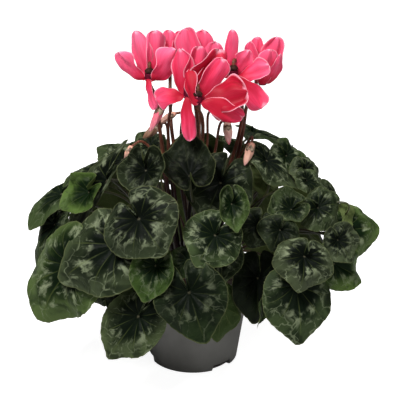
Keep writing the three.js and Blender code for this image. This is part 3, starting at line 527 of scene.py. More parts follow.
# ------------------------------------------------------------------ leaves
def outline(t):
    """Heart-shaped outline: distance from the stalk's joint at angle t from the tip, with a blunt point at
    zero, broad lobes and a deep notch at half a turn."""
    from_notch = np.pi - np.abs(t)
    broad = 0.56 + 0.3 * ((1 + np.cos(t)) / 2) ** 2 + 0.14 * hump(t, 0.28)
    point = 0.07 * hump(t, 0.13)
    lobes = 0.09 * hump(from_notch - 0.55, 0.45)
    return (broad + point + lobes) * (1 - 0.8 * hump(from_notch, 0.24))


def leaf_axes(leaf):
    """The blade's own axes: the way it looks, from joint to tip, and to its side."""
    azimuth, lift = leaf["faces"]
    turn = math.radians(leaf["turn"])
    normal = facing(azimuth, lift)
    downhill = facing(azimuth, lift - 90)
    level = np.cross(normal, downhill)
    tip = math.cos(turn) * downhill + math.sin(turn) * level
    return normal, tip, np.cross(tip, normal)


def blade_relief(leaf, seed, s, t):
    """Height of a blade over its plane at share of reach s and angle t: a wave and finer ripples at the
    margin, puckers between the veins, uneven folds, a margin that curls up, a funnel at the joint and two
    lobes lifted by unlike amounts."""
    width = leaf["width"]
    size = width / 60
    wave = leaf["wave"] * s**3 * np.sin(5 * t)
    ripple = 0.7 * size * s**6 * np.sin(13 * t + 2 * seed)
    pucker = -0.45 * size * np.sin(np.pi * s) * np.cos(BLADE["veins"] * t)
    folds = 0.045 * width * s**2 * (np.sin(3 * t + 1.3 * seed) + 0.8 * np.sin(4 * t + 2.1 * seed))
    curl = leaf.get("curl", 0) * width * smooth(s, 0.6, 1) ** 2
    funnel = width * (0.09 * smooth(s, 0, 0.55) - 0.07 * smooth(s, 0.6, 1))
    lobes = 0.05 * width * s**2 * hump(np.pi - np.abs(t), 0.6) * (1 + 0.5 * np.sign(t))
    return wave + ripple + pucker + folds + curl + funnel + lobes


def blade(leaf, seed):
    """A blade as a grid of share of reach s and angle t round the joint. Its outline is a little uneven, with
    teeth that fade inwards from the margin and lobes that swing together over the notch. It rolls about its
    midrib and bends along it on arcs, and carries its relief on that plane."""
    normal, tip, side = leaf_axes(leaf)
    sectors = BLADE["sectors"]
    shares = 1 - (1 - np.linspace(0, 1, BLADE["rings"] + 1)[1:]) ** 1.4
    s, t = np.meshgrid(shares, turns(sectors) - np.pi, indexing="ij")
    uneven = 1 + 0.02 * s**2 * (np.sin(2 * t + seed) + np.sin(3 * t + 1.7 * seed))
    teeth = 1 + 0.02 * s**10 * (np.abs(np.sin(BLADE["teeth"] * t + seed)) - 0.5)
    r = s * outline(t) * uneven * teeth
    closing = 0.26 * np.sign(t) * s * hump(np.pi - 0.5 - np.abs(t), 0.36)
    x = r * np.sin(t + closing) * leaf["width"] / OUTLINE_WIDTH
    y = r * np.cos(t + closing) * leaf["length"] * np.where(np.cos(t) < 0, leaf.get("lobe", 1), 1)
    left, right = leaf["roll"]
    roll = np.radians(np.where(x > 0, left, right)) / (0.5 * leaf["width"])
    bend = math.radians(leaf["bend"]) / leaf["length"]
    sideways, rise = arc(x, roll)
    forward, up = arc(y, bend)
    height = rise + blade_relief(leaf, seed, s, t)
    along = forward - height * np.sin(bend * y)
    out = up + height * np.cos(bend * y)
    at = np.array(leaf["at"], float)
    grid = at + sideways[..., None] * side + along[..., None] * tip + out[..., None] * normal
    k = np.arange(sectors)
    fan = np.stack([np.zeros_like(k), 1 + (k + 1) % sectors, 1 + k], 1)
    rim = 1 + (BLADE["rings"] - 1) * sectors + k[::-1]
    flat = 0.5 + 0.5 * np.stack([r * np.sin(t), r * np.cos(t)], -1)
    reach = np.append(0, s.ravel())
    look = PLAIN | LOOKS.get(leaf["name"], {})
    return sheet(
        np.vstack([at[None], grid.reshape(-1, 3)]),
        np.vstack([fan, 1 + quads(BLADE["rings"], sectors, True)]),
        rim,
        BLADE["thickness"] * (1 - 0.6 * smooth(reach, 0.9, 1)),
        np.vstack([[[0.5, 0.5]], flat.reshape(-1, 2)]),
        (0, 1, 0),
        dict(reach=reach, angle=np.append(0, t.ravel() / np.pi), seed=seed, **look),
    )


def leaf_stalk(leaf, root):
    """A stalk leaves its socket, bows out sideways and comes up under the joint on a cubic Bezier path. That
    of a leaf with a family is thinner and branches off higher up."""
    normal, tip, _ = leaf_axes(leaf)
    branches = "family" in leaf
    joint = np.array(leaf["at"], float) - 0.2 * normal
    end = root["end"]
    gap = np.linalg.norm(joint - end)
    leave = end + 0.4 * gap * root["along"] + leaf.get("sway", 0) * root["across"]
    arrive = joint - 0.33 * gap * unit(0.75 * normal + 0.5 * tip)
    v = np.linspace(0, 1, 25)[:, None]
    curve = (1 - v) ** 3 * end + 3 * v * (1 - v) ** 2 * leave + 3 * v**2 * (1 - v) * arrive + v**3 * joint
    start = root["foot"] + (0.6 * SOCKET["straight"] * root["along"] if branches else 0)
    size = STALK | dict(radius=STALK["radius"] - (STALK["branch"] if branches else 0))
    unmarked = dict.fromkeys(["reach", "angle", "seed", *PLAIN], 0)
    return tapered(np.vstack([start, curve]), root, size, 2, unmarked)


# ------------------------------------------------------------------ blooms
def petal_line(bloom, spec, k, v):
    """Middle line of the k-th petal at shares v, a quadratic Bezier from the throat's ring to the tip, and at
    each of its points the direction along it and across the petal. Across turns from the ring's own direction
    to that of the broad side, and twists by 0.45 v sin(3 v) with a phase of the petal's own."""
    azimuth = bloom["spin"] + 72 * k
    at = np.array(bloom["at"], float)
    tip = np.array(spec["tip"], float)
    out = facing(azimuth, 0)
    look = facing(*spec["face"])
    layer = PETAL["layer"] * math.cos(math.radians(azimuth + 20))
    start = at + out * (THROAT["radius"] - 1) + [0, 0, 1.5]
    bow = at + out * (THROAT["radius"] + 3) + [0, 0, -3 if tip[2] > 0 else 2]
    end = at + tip + look * layer
    centre = (1 - v) ** 2 * start + 2 * v * (1 - v) * bow + v**2 * end
    along = unit((bow - start) * (1 - v) + (end - bow) * v)
    ring = np.cross([0, 0, 1], out)
    broad = np.cross(look, along)
    sign = np.where(broad @ ring < 0, -1, 1)[:, None]
    share = np.minimum(1, 2.2 * v)
    across = ring * sign * (1 - share) + unit(broad) * share
    straight = unit(across - along * np.sum(across * along, 1, keepdims=True))
    twist = 0.45 * v * np.sin(3 * v + tip[0] + k)
    return centre, along, np.cos(twist) * straight + np.sin(twist) * np.cross(along, straight)


def petal(bloom, spec, k):
    """A petal as a grid of share along v and across u. Its half width swells as v^1.2 (1 - v^8)^0.5, a little
    unevenly; it is dished across, frilled and waved at its edges, scalloped at its end and ribbed lengthwise.
    The tip's own place sets the phases of its waves."""
    rows, columns = PETAL["rows"], PETAL["columns"]
    line = 1 - (1 - np.linspace(0, 1, rows)) ** 1.5
    v, u = np.meshgrid(line, np.linspace(-1, 1, columns), indexing="ij")
    centre, along, across = petal_line(bloom, spec, k, line[:, None])
    normal = np.cross(along, across)
    phase, _, lilt = spec["tip"]
    swell = PETAL["root"] * (1 - v) + spec["width"] / 2 * 1.42 * v**1.2 * np.sqrt(1 - v**8)
    uneven = 1 + 0.15 * u * np.sin(7 * v + phase) + 0.09 * v * np.sin(21 * v + 2 * np.sign(u) + lilt)
    half = swell * uneven
    edge = np.abs(u) ** 3
    dish = (0.12 + 0.16 * math.cos(phase + 2 * k)) * (1 - u**2)
    frill = 0.1 * u * v * np.sin(9 * v + phase)
    wave = 0.5 * edge * v * np.sin(10 * v + 2 * u + phase)
    end_wave = 0.24 * smooth(v, 0.6, 1) * np.sin(5 * u + lilt)
    ribs = 0.16 * np.cos(4.5 * np.pi * u) * (1 - edge) * v
    rise = half * (dish + frill + wave + end_wave) + ribs
    scallop = 0.22 * half * v**5 * (np.sin(5 * u + phase) + 0.6 * np.sin(12 * u + lilt))
    shifts = ((across, u * half), (normal, rise), (along, scallop))
    grid = centre[:, None] + sum(way[:, None] * amount[..., None] for way, amount in shifts)
    starts = np.arange(rows) * columns
    first = np.arange(columns - 1)
    rim = np.concatenate([first, starts[:-1] + columns - 1, starts[-1] + first[::-1] + 1, starts[:0:-1]])
    return sheet(
        grid.reshape(-1, 3),
        quads(rows, columns),
        rim,
        PETAL["thickness"] * (1 - 0.5 * smooth(np.maximum(np.abs(u), v).ravel(), 0.85, 1)),
        np.stack([0.5 + 0.5 * u, v], -1).reshape(-1, 2),
        (0, 0, 0),
        dict(depth=spec.get("depth", bloom["depth"]), seed=phase + 7 * k + bloom["spin"]),
    )


def corolla(bloom):
    """Five petals round a short boss whose lower end is dished into a dark mouth."""
    radius, height = THROAT["radius"], THROAT["height"]
    radii = [0, radius * 0.35, radius - 1.4, radius - 0.6, radius - 0.1, radius, radius, radius - 0.5, 0]
    heights = [1, 0.6, -0.6, -1, 0, 1, height - 0.8, height, height]
    boss = turned(radii, heights, THROAT["sides"], bloom["at"], 1, dict(depth=0, seed=0))
    return join([petal(bloom, spec, k) for k, spec in enumerate(bloom["petals"])] + [boss])


def calyx(at, line, radius, length):
    """A cup of five pointed sepals: a cone round `line` that swells as a sine and whose far edge is scalloped
    by cos(5 turn)."""
    turn = turns(CALYX["sides"])
    v = np.linspace(0, 1, CALYX["rows"])[:, None]
    reach = length * v * (1 - 0.22 * (1 - np.cos(5 * turn)) / 2)
    swell = radius * (0.35 + 0.65 * np.sin(0.5 * np.pi * np.minimum(1.5 * v, 1)) + 0.06 * v)
    line = unit(np.array(line, float))
    u = unit(np.cross(line, [0.3, 0.2, 1]))
    ring = u * np.cos(turn)[:, None] + np.cross(line, u) * np.sin(turn)[:, None]
    grid = at + line * reach[..., None] + ring * swell[..., None]
    return capped(grid, [at, grid[-1].mean(0)], 1)


def bloom_stalk(bloom):
    """A stalk rises past its `via` points, hooks over beside the throat and comes down into the calyx."""
    root = take_socket(bloom["at"])
    at = np.array(bloom["at"], float)
    beside = facing(bloom["hook"], 0)
    reach = BLOOM_STALK["hook"]
    bends = [(reach, -6), (reach, 9), (0.8 * reach, 14), (0.4 * reach, 16), (0.4, 14.5), (0, 11)]
    over = [at + out * beside + [0, 0, up] for out, up in bends]
    stalk = tapered(rising(root, [*bloom["via"], *over], 78), root, BLOOM_STALK)
    cup = calyx(at + [0, 0, CALYX["above"]], (0, 0, -1), CALYX["radius"], CALYX["length"])
    return join([stalk, cup])


def bud(spec):
    """A bud hangs from a hooked stalk: a calyx, then a spindle of five petals furled in a spiral, whose
    ridges follow cos(5 (turn + twist along it))."""
    root = take_socket(spec["at"])
    at = np.array(spec["at"], float)
    line = spec["tip"] - at
    stalk = tapered(rising(root, [*spec["via"], at], 48), root, BUD_STALK)
    v = np.linspace(0, 1, SPINDLE["rows"])[:, None]
    stations = [-0.06, 0.02, 0.16, 0.4, 0.62, 0.84, 1]
    girths = [0.4, 0.75, 0.85, 0.95, 0.8, 0.5, 0.12]
    share = stations[0] + (stations[-1] - stations[0]) * v
    girth = np.interp(share, stations, girths) * spec["width"] / 2
    ridge = 1 + 0.1 * np.cos(5 * (turns(SPINDLE["sides"]) + SPINDLE["twist"] * v))
    spindle = tube(at + line * share, girth * ridge, np.array([1.0, 0, 0]), 2)
    cup = calyx(at - unit(line) * 1.2, line, 0.46 * spec["width"], 0.42 * np.linalg.norm(line))
    return join([stalk, cup, spindle])


# ------------------------------------------------------------------ pot, compost and tuber
def pot():
    """The pot's wall turned round Z: a foot ring, a flared wall and a rolled rim. Near each drain notch the
    foot outside the notch's back is lifted to the notch's height, so the notch is a recess underneath."""
    height, base, rim, wall, floor = (POT[key] for key in ("height", "base", "rim", "wall", "floor"))
    back = DRAIN["back"]
    lip = rim + POT["lip"]
    low = height - POT["lip_height"]
    slope = (rim - base - 0.8) / (low - 1)
    outside = [(base + 0.1 + slope * (z - 1), z) for z in np.linspace(1, low - 0.6, 16)]
    flare = (rim - base - 0.4) / (height - floor)
    inside = [(base - wall + 0.4 + flare * (z - floor), z) for z in np.linspace(height - 1, floor, 8)]
    profile = [
        (0, 2), (28, 2), (29, 0.6), (30, 0), (38, 0),
        (back, 0), (back + 0.2, 0), (base - 2, 0), (base - 0.8, 0.2), (base - 0.1, 0.6),
        *outside,
        (rim - 0.7, low), (rim + 0.4, low - 0.1), (lip - 0.5, low), (lip, low + 0.5), (lip, height - 1.4),
        (lip - 0.3, height - 0.4), (lip - 1, height), (rim - wall + 0.5, height), (rim - wall, height - 0.3),
        *inside,
        (back + 0.1, floor), (back, floor), (0, floor),
    ]
    radii, heights = (np.array(column, float)[:, None] for column in zip(*profile))
    spread = 360 / DRAIN["count"]
    turn = np.degrees(turns(POT["sides"]))
    from_notch = np.abs((turn - DRAIN["first"] + spread / 2) % spread - spread / 2)
    half = math.degrees(math.asin(0.5 * DRAIN["width"] / base))
    cut = (from_notch < half) & (radii > back + 0.05)
    within = np.arange(len(radii))[:, None] >= len(radii) // 2
    ceiling = DRAIN["height"] + wall * within
    lifted = np.where(cut & (heights < ceiling), ceiling + 0.04 * heights, heights)
    return turned(radii, lifted, POT["sides"])


def lumps(x, y, size, seed):
    """Uneven ground from -1 to 1: the mean of six crossed sine waves, each 1.6 times finer than the last."""
    ways = [2.4 * k + seed for k in range(6)]
    waves = [np.sin(1.6**k / size * (x * math.cos(a) + y * math.sin(a)) + a) for k, a in enumerate(ways)]
    return sum(waves) / len(waves)


def compost():
    """The bed of compost turned round Z, its top heaped in lumps that fade at the axis."""
    floor, gap, top = POT["floor"], SOIL["clearance"], SOIL["top"]
    flare = (POT["rim"] - POT["base"] - 0.4) / (POT["height"] - floor)
    bottom = POT["base"] - POT["wall"] + 0.4
    brim = bottom + flare * (top - 1 - floor) - gap
    inwards = brim * (1 - np.linspace(0, 1, SOIL["rings"])[1:])
    radii = np.array([0, bottom - 2, bottom + 2 * flare - gap, brim, *inwards])[:, None]
    heights = np.array([floor, floor, floor + 2, top - 1.5, *np.full(len(inwards), top)])[:, None]
    turn = turns(SOIL["sides"])
    x, y = radii * np.cos(turn), radii * np.sin(turn)
    heap = 0.2 + (1.1 * lumps(x, y, 5, 0.3) + 0.9 * lumps(x, y, 1.6, 1.9)) * smooth(radii, 0, 4)
    return turned(radii, heights + heap * (heights >= top), SOIL["sides"])


def tuber():
    """The tuber turned round Z: a flattened corm, half out of the compost, with a knobbly, corky skin."""
    flank = [0, 0.5, 0.8, 0.93, 0.985, 1, 0.99, 0.965]
    rises = [0, 0, 1, 4, 7, 10, 13, 15.4]
    crown = [0.93, 0.88, 0.82, 0.75, 0.66, 0.56, 0.45, 0.34, 0.22, 0.1, 0]
    radii = TUBER["radius"] * np.array(flank + crown)[:, None]
    heights = np.vstack([TUBER["bottom"] + np.array(rises)[:, None], tuber_top(radii[len(flank):])])
    turn = turns(TUBER["sides"])
    x, y = radii * np.cos(turn), radii * np.sin(turn)
    skin = 0.5 * lumps(x + heights, y, 4, 0.9) + 0.3 * lumps(x, y - heights, 1.4, 2.2)
    knobs = skin * smooth(radii, 0, 3)
    return turned(radii + knobs, heights + 0.6 * knobs, TUBER["sides"])


# ------------------------------------------------------------------ node tools
class Nodes:
    """Builds one node tree: each call adds a node and links or sets its inputs."""

    def __init__(self, tree):
        self.tree = tree

    def put(self, socket, value):
        """Links an output to the socket, or sets a constant on it. A constant colour is opaque."""
        if isinstance(value, bpy.types.NodeSocket):
            self.tree.links.new(value, socket)
        elif socket.type == "RGBA":
            socket.default_value = (*value, 1)
        else:
            socket.default_value = value

    def add(self, kind, settings=None, **inputs):
        """A node of that kind; settings are its own properties, inputs its sockets by name."""
        node = self.tree.nodes.new(kind)
        for key, value in (settings or {}).items():
            setattr(node, key, value)
        for key, value in inputs.items():
            self.put(node.inputs[key], value)
        return node

    def step(self, kind, settings, values):
        """The first output of a node whose inputs take the values in their order."""
        node = self.add(kind, settings)
        for socket, value in zip(node.inputs, values):
            self.put(socket, value)
        return node.outputs[0]

    def math(self, operation, *values, clamp=False):
        """One step of arithmetic."""
        return self.step("ShaderNodeMath", dict(operation=operation, use_clamp=clamp), values)

    def vector(self, operation, *values):
        """One step of vector arithmetic."""
        return self.step("ShaderNodeVectorMath", dict(operation=operation), values)

    def plus(self, a, b):
        """The sum of two values."""
        return self.math("ADD", a, b)

    def minus(self, a, b):
        """The difference of two values."""
        return self.math("SUBTRACT", a, b)

    def times(self, a, b):
        """The product of two values."""
        return self.math("MULTIPLY", a, b)

    def span(self, value, low, high, to_low=0.0, to_high=1.0):
        """value eased from low..high to to_low..to_high, held at both ends."""
        node = self.add("ShaderNodeMapRange", dict(interpolation_type="SMOOTHSTEP"), Value=value)
        for key, number in (("From Min", low), ("From Max", high), ("To Min", to_low), ("To Max", to_high)):
            self.put(node.inputs[key], number)
        return node.outputs["Result"]

    def mix(self, share, a, b):
        """A colour between a and b."""
        node = self.add("ShaderNodeMix", dict(data_type="RGBA"))
        for place, value in ((0, share), (6, a), (7, b)):
            self.put(node.inputs[place], value)
        return node.outputs[2]

    def over(self, base, mask, strength, colour):
        """The base colour, with another laid over it to that strength where the mask is one."""
        return self.mix(self.times(mask, strength), base, colour)

    def noise(self, place, scale, detail, seed=None, distortion=0.0, roughness=0.5):
        """Smooth noise from 0 to 1; a seed, its fourth coordinate, makes it differ from piece to piece."""
        settings = dict(noise_dimensions="3D" if seed is None else "4D")
        node = self.add("ShaderNodeTexNoise", settings, Vector=place, Scale=scale, Detail=detail,
                        Distortion=distortion, Roughness=roughness)
        if seed is not None:
            self.put(node.inputs["W"], seed)
        return node.outputs[0]

    def value(self, name):
        """A point value stored on the mesh."""
        return self.add("ShaderNodeAttribute", dict(attribute_name=name)).outputs["Fac"]

    def coords(self, kind):
        """Object or UV coordinates."""
        return self.add("ShaderNodeTexCoord").outputs[kind]

    def axis(self, place, name):
        """One coordinate of a place."""
        return self.add("ShaderNodeSeparateXYZ", Vector=place).outputs[name]

    def scaled(self, place, scale):
        """A place with each coordinate multiplied by its own scale."""
        return self.add("ShaderNodeMapping", Vector=place, Scale=scale).outputs[0]

    def bump(self, height, strength, distance=0.0005):
        """A normal that follows the height."""
        node = self.add("ShaderNodeBump", Strength=strength, Distance=distance, Height=height)
        return node.outputs["Normal"]

    def use(self, tree, **inputs):
        """The outputs of a node that stands for a group."""
        return self.add("ShaderNodeGroup", dict(node_tree=tree), **inputs).outputs


FLOAT = "NodeSocketFloat"
VECTOR = "NodeSocketVector"
COLOUR = "NodeSocketColor"


def group(name, inputs, outputs, build):
    """A node group with those inputs and outputs; build(nodes, given) returns the outputs' values."""
    tree = bpy.data.node_groups.new(name, "ShaderNodeTree")
    for key, kind in inputs.items():
        tree.interface.new_socket(key, in_out="INPUT", socket_type=kind)
    for key, kind in outputs.items():
        tree.interface.new_socket(key, in_out="OUTPUT", socket_type=kind)
    nodes = Nodes(tree)
    given = tree.nodes.new("NodeGroupInput")
    made = tree.nodes.new("NodeGroupOutput")
    for key, value in build(nodes, given.outputs).items():
        nodes.put(made.inputs[key], value)
    return tree


def material(name, build):
    """A material whose Principled shader takes the inputs that build(nodes) returns."""
    made = bpy.data.materials.new(name)
    made.use_nodes = True
    shader = made.node_tree.nodes["Principled BSDF"]
    nodes = Nodes(made.node_tree)
    for key, value in build(nodes).items():
        nodes.put(shader.inputs[key], value)
    return made


# ------------------------------------------------------------------ effects shared by materials
def leaf_marks(nodes, given):
    """A leaf's veins and the noises its markings come from. Main veins leave the joint at equal turns; side
    veins are the edges of cells drawn out along the reach. The noises, coarse to fine, lie on the leaf's
    plane, gently warped; fingers lie on the plane of turn and reach, warped more."""
    seed, reach, angle = given["seed"], given["reach"], given["angle"]
    flat = nodes.vector("SUBTRACT", given["flat"], (0.5, 0.5, 0))
    warp = nodes.add("ShaderNodeTexNoise", dict(noise_dimensions="4D"), Vector=flat, Scale=6.0, Detail=3.0,
                     W=seed)
    centred = nodes.vector("SUBTRACT", warp.outputs["Color"], (0.5, 0.5, 0.5))
    plane = nodes.vector("MULTIPLY_ADD", centred, (0.08, 0.08, 0), flat)
    drawn_out = nodes.add("ShaderNodeCombineXYZ", X=nodes.times(angle, BLADE["veins"]),
                          Y=nodes.times(reach, 2.4), Z=seed)
    polar = nodes.vector("MULTIPLY_ADD", centred, (3.2, 1.2, 0), drawn_out.outputs[0])
    swing = nodes.math("SINE", nodes.times(angle, BLADE["veins"] / 2 * math.pi))
    width = nodes.span(reach, 0.0, 0.9, 0.3, 0.1)
    line = nodes.math("SUBTRACT", 1.0, nodes.math("DIVIDE", nodes.math("ABSOLUTE", swing), width), clamp=True)
    shown = nodes.times(nodes.span(reach, 0.98, 0.6), nodes.span(reach, 0.05, 0.4))
    cells = nodes.add("ShaderNodeTexVoronoi", dict(feature="DISTANCE_TO_EDGE"), Vector=polar, Scale=1.0)
    return dict(
        main=nodes.times(line, shown),
        side=nodes.span(cells.outputs["Distance"], 0.06, 0.01),
        broad=nodes.noise(plane, 4.0, 3.0, seed),
        gloom=nodes.noise(plane, 5.0, 4.0, seed, distortion=1.0),
        patch=nodes.noise(plane, 9.0, 3.0, seed),
        fine=nodes.noise(plane, 10.0, 4.0, seed, distortion=0.6, roughness=0.6),
        mottle=nodes.noise(plane, 34.0, 3.0, seed),
        grain=nodes.noise(plane, 60.0, 3.0, seed),
        fingers=nodes.noise(polar, 1.1, 3.0, seed, distortion=0.4),
    )


def mottling(nodes, given):
    """Two shades mixed by a noise, eased between its levels low and high, and the noise itself as a grain."""
    grain = nodes.noise(given["place"], given["scale"], given["detail"])
    share = nodes.span(grain, given["low"], given["high"])
    return dict(colour=nodes.mix(share, given["dark"], given["light"]), grain=grain)


LEAF_MARKS = group(
    "leaf marks",
    dict(flat=VECTOR, reach=FLOAT, angle=FLOAT, seed=FLOAT),
    dict.fromkeys(["main", "side", "broad", "gloom", "patch", "fine", "mottle", "grain", "fingers"], FLOAT),
    leaf_marks,
)
MOTTLING = group(
    "mottling",
    dict(place=VECTOR, scale=FLOAT, detail=FLOAT, low=FLOAT, high=FLOAT, dark=COLOUR, light=COLOUR),
    dict(colour=COLOUR, grain=FLOAT),
    mottling,
)


def marks_of(nodes):
    """The leaf marks at a blade's own coordinates."""
    given = {key: nodes.value(key) for key in ("reach", "angle", "seed")}
    return nodes.use(LEAF_MARKS, flat=nodes.coords("UV"), **given)


# ------------------------------------------------------------------ materials
def marbled(nodes):
    """A leaf's upper side: near-black centre, drawn further into the lobes than to the tip as painted shade
    on the lobes' side, a broken ring of silver blotches drawn out in fingers, a grey-green outer zone, faint
    olive main veins and a thin pale margin, all darkened by painted shade where the leaf stands in shade."""
    marks = marks_of(nodes)
    reach, silver, olive = (nodes.value(key) for key in ("reach", "silver", "olive"))
    fine, fingers, grain = marks["fine"], marks["fingers"], marks["grain"]
    # Painted shade: the dark centre is pushed towards the lobes and back from the tip, as the lobes' side
    # lies in shade.
    lobe_shade_bias = nodes.times(nodes.math("COSINE", nodes.times(nodes.value("angle"), math.pi)), reach)
    uneven = nodes.plus(nodes.times(marks["broad"], 0.45), nodes.times(fingers, 0.3))
    shift = nodes.plus(uneven, nodes.times(lobe_shade_bias, 0.16))
    place = nodes.plus(reach, nodes.minus(shift, 0.4))
    outer = nodes.span(place, 0.4, 0.98)
    ring = nodes.times(nodes.span(place, 0.4, 0.56), nodes.span(place, 0.88, 0.64))
    blotch = nodes.span(nodes.plus(nodes.times(fine, 0.5), nodes.times(fingers, 0.5)), 0.49, 0.6)
    marble = nodes.times(nodes.times(ring, blotch), silver)
    mottle = nodes.times(nodes.span(marks["mottle"], 0.35, 0.7), outer)
    broken = nodes.times(nodes.span(fine, 0.4, 0.58), nodes.span(place, 0.4, 0.62))
    threads = nodes.times(nodes.times(marks["side"], broken), nodes.span(silver, -0.3, 1.0))
    dark = nodes.mix(olive, (0.0025, 0.0045, 0.0025), (0.003, 0.01, 0.002))
    grey = nodes.mix(olive, (0.013, 0.022, 0.0095), (0.014, 0.036, 0.0065))
    pale = nodes.mix(olive, (0.08, 0.096, 0.049), (0.074, 0.125, 0.026))
    base = nodes.mix(outer, dark, nodes.mix(nodes.value("tone"), grey, pale))
    base = nodes.over(base, mottle, 0.225, (0.055, 0.075, 0.034))
    base = nodes.over(base, nodes.span(marks["gloom"], 0.45, 0.64), 0.7, dark)
    base = nodes.over(base, marble, 0.85, (0.23, 0.265, 0.16))
    base = nodes.over(base, threads, 0.6, (0.19, 0.225, 0.13))
    base = nodes.over(base, marks["main"], 0.5, (0.07, 0.09, 0.026))
    # Painted shade: leaves that stand in the shade of other leaves are darkened all over by their shade
    # value.
    base = nodes.over(base, nodes.value("shade"), 1.0, (0.002, 0.003, 0.0015))
    base = nodes.over(base, nodes.span(reach, 0.06, 0.0), 0.7, (0.14, 0.13, 0.08))
    base = nodes.over(base, nodes.span(reach, 0.965, 0.998), 0.5, (0.12, 0.135, 0.055))
    relief = nodes.minus(nodes.times(grain, 0.4), nodes.plus(marks["main"], marks["side"]))
    return {
        "Base Color": base,
        "Roughness": nodes.span(grain, 0.3, 0.7, 0.42, 0.55),
        "Specular IOR Level": 0.05,
        "Normal": nodes.bump(relief, 0.35),
    }


def underside(nodes):
    """A leaf's underside: from dark green to pale yellow-green by its own value, with raised pale veins. The
    pale yellow-green is partly the underside's own colour and partly painted light that comes through the
    leaf from behind.
    """
    marks = marks_of(nodes)
    deep = nodes.mix(marks["patch"], (0.005, 0.018, 0.003), (0.012, 0.035, 0.006))
    pale = nodes.mix(marks["patch"], (0.09, 0.12, 0.03), (0.2, 0.23, 0.085))
    # Painted light: the lighter end of this mix partly stands in for light coming through the leaf from
    # behind.
    base = nodes.mix(nodes.value("under"), deep, pale)
    base = nodes.over(base, marks["main"], 0.4, (0.1, 0.12, 0.04))
    base = nodes.over(base, marks["side"], 0.15, (0.1, 0.13, 0.045))
    base = nodes.over(base, nodes.span(nodes.value("reach"), 0.95, 1.0), 1.0, (0.08, 0.095, 0.035))
    return {
        "Base Color": base,
        "Roughness": 0.55,
        "Specular IOR Level": 0.07,
        "Normal": nodes.bump(nodes.plus(marks["main"], marks["side"]), 0.4),
    }


def leaf_stem(nodes):
    """A leaf stalk: dull wine red low down, turning olive green towards the blade, both kept very dark,
    partly as painted shade among the leaves.
    """
    grain = nodes.noise(nodes.coords("Object"), 180.0, 3.0)
    share = nodes.plus(nodes.axis(nodes.coords("UV"), "Y"), nodes.times(nodes.minus(grain, 0.5), 0.8))
    # Both colours are partly painted shade: kept darker than the stalk's own for the shade among the leaves.
    base = nodes.mix(nodes.span(share, 0.25, 0.9), (0.024, 0.007, 0.005), (0.045, 0.05, 0.015))
    return {"Base Color": base, "Roughness": 0.45, "Normal": nodes.bump(grain, 0.2)}


def flower_stem(nodes):
    """A bloom stalk: red-brown with lighter rosy streaks along it, darkened to wine low down by painted shade
    among the leaves.
    """
    at = nodes.coords("Object")
    streaks = nodes.use(MOTTLING, place=nodes.scaled(at, (900, 900, 60)), scale=1.0, detail=3.0, low=0.3,
                        high=0.75, dark=(0.07, 0.016, 0.01), light=(0.25, 0.09, 0.05))
    # Painted shade: the stalk is darkened below the leaves' tops, where they shade it.
    shaded_low_down = nodes.span(nodes.axis(at, "Z"), 0.235, 0.19)
    return {
        "Base Color": nodes.over(streaks["colour"], shaded_low_down, 1.0, (0.013, 0.004, 0.003)),
        "Roughness": 0.42,
        "Specular IOR Level": 0.25,
        "Normal": nodes.bump(streaks["grain"], 0.25),
    }


def bud_sepals(nodes):
    """A bud's calyx: cream to tan with brown streaks."""
    skin = nodes.use(MOTTLING, place=nodes.coords("Object"), scale=300.0, detail=4.0, low=0.4, high=0.62,
                     dark=(0.09, 0.04, 0.022), light=(0.42, 0.32, 0.22))
    return {"Base Color": skin["colour"], "Roughness": 0.6, "Normal": nodes.bump(skin["grain"], 0.3)}


def sepals(nodes):
    """A bloom's calyx: near-black wine red, mottled with a lighter brown."""
    skin = nodes.use(MOTTLING, place=nodes.coords("Object"), scale=260.0, detail=3.0, low=0.35, high=0.7,
                     dark=(0.024, 0.006, 0.006), light=(0.045, 0.018, 0.011))
    return {
        "Base Color": skin["colour"],
        "Roughness": 0.55,
        "Specular IOR Level": 0.1,
        "Normal": nodes.bump(skin["grain"], 0.3),
    }


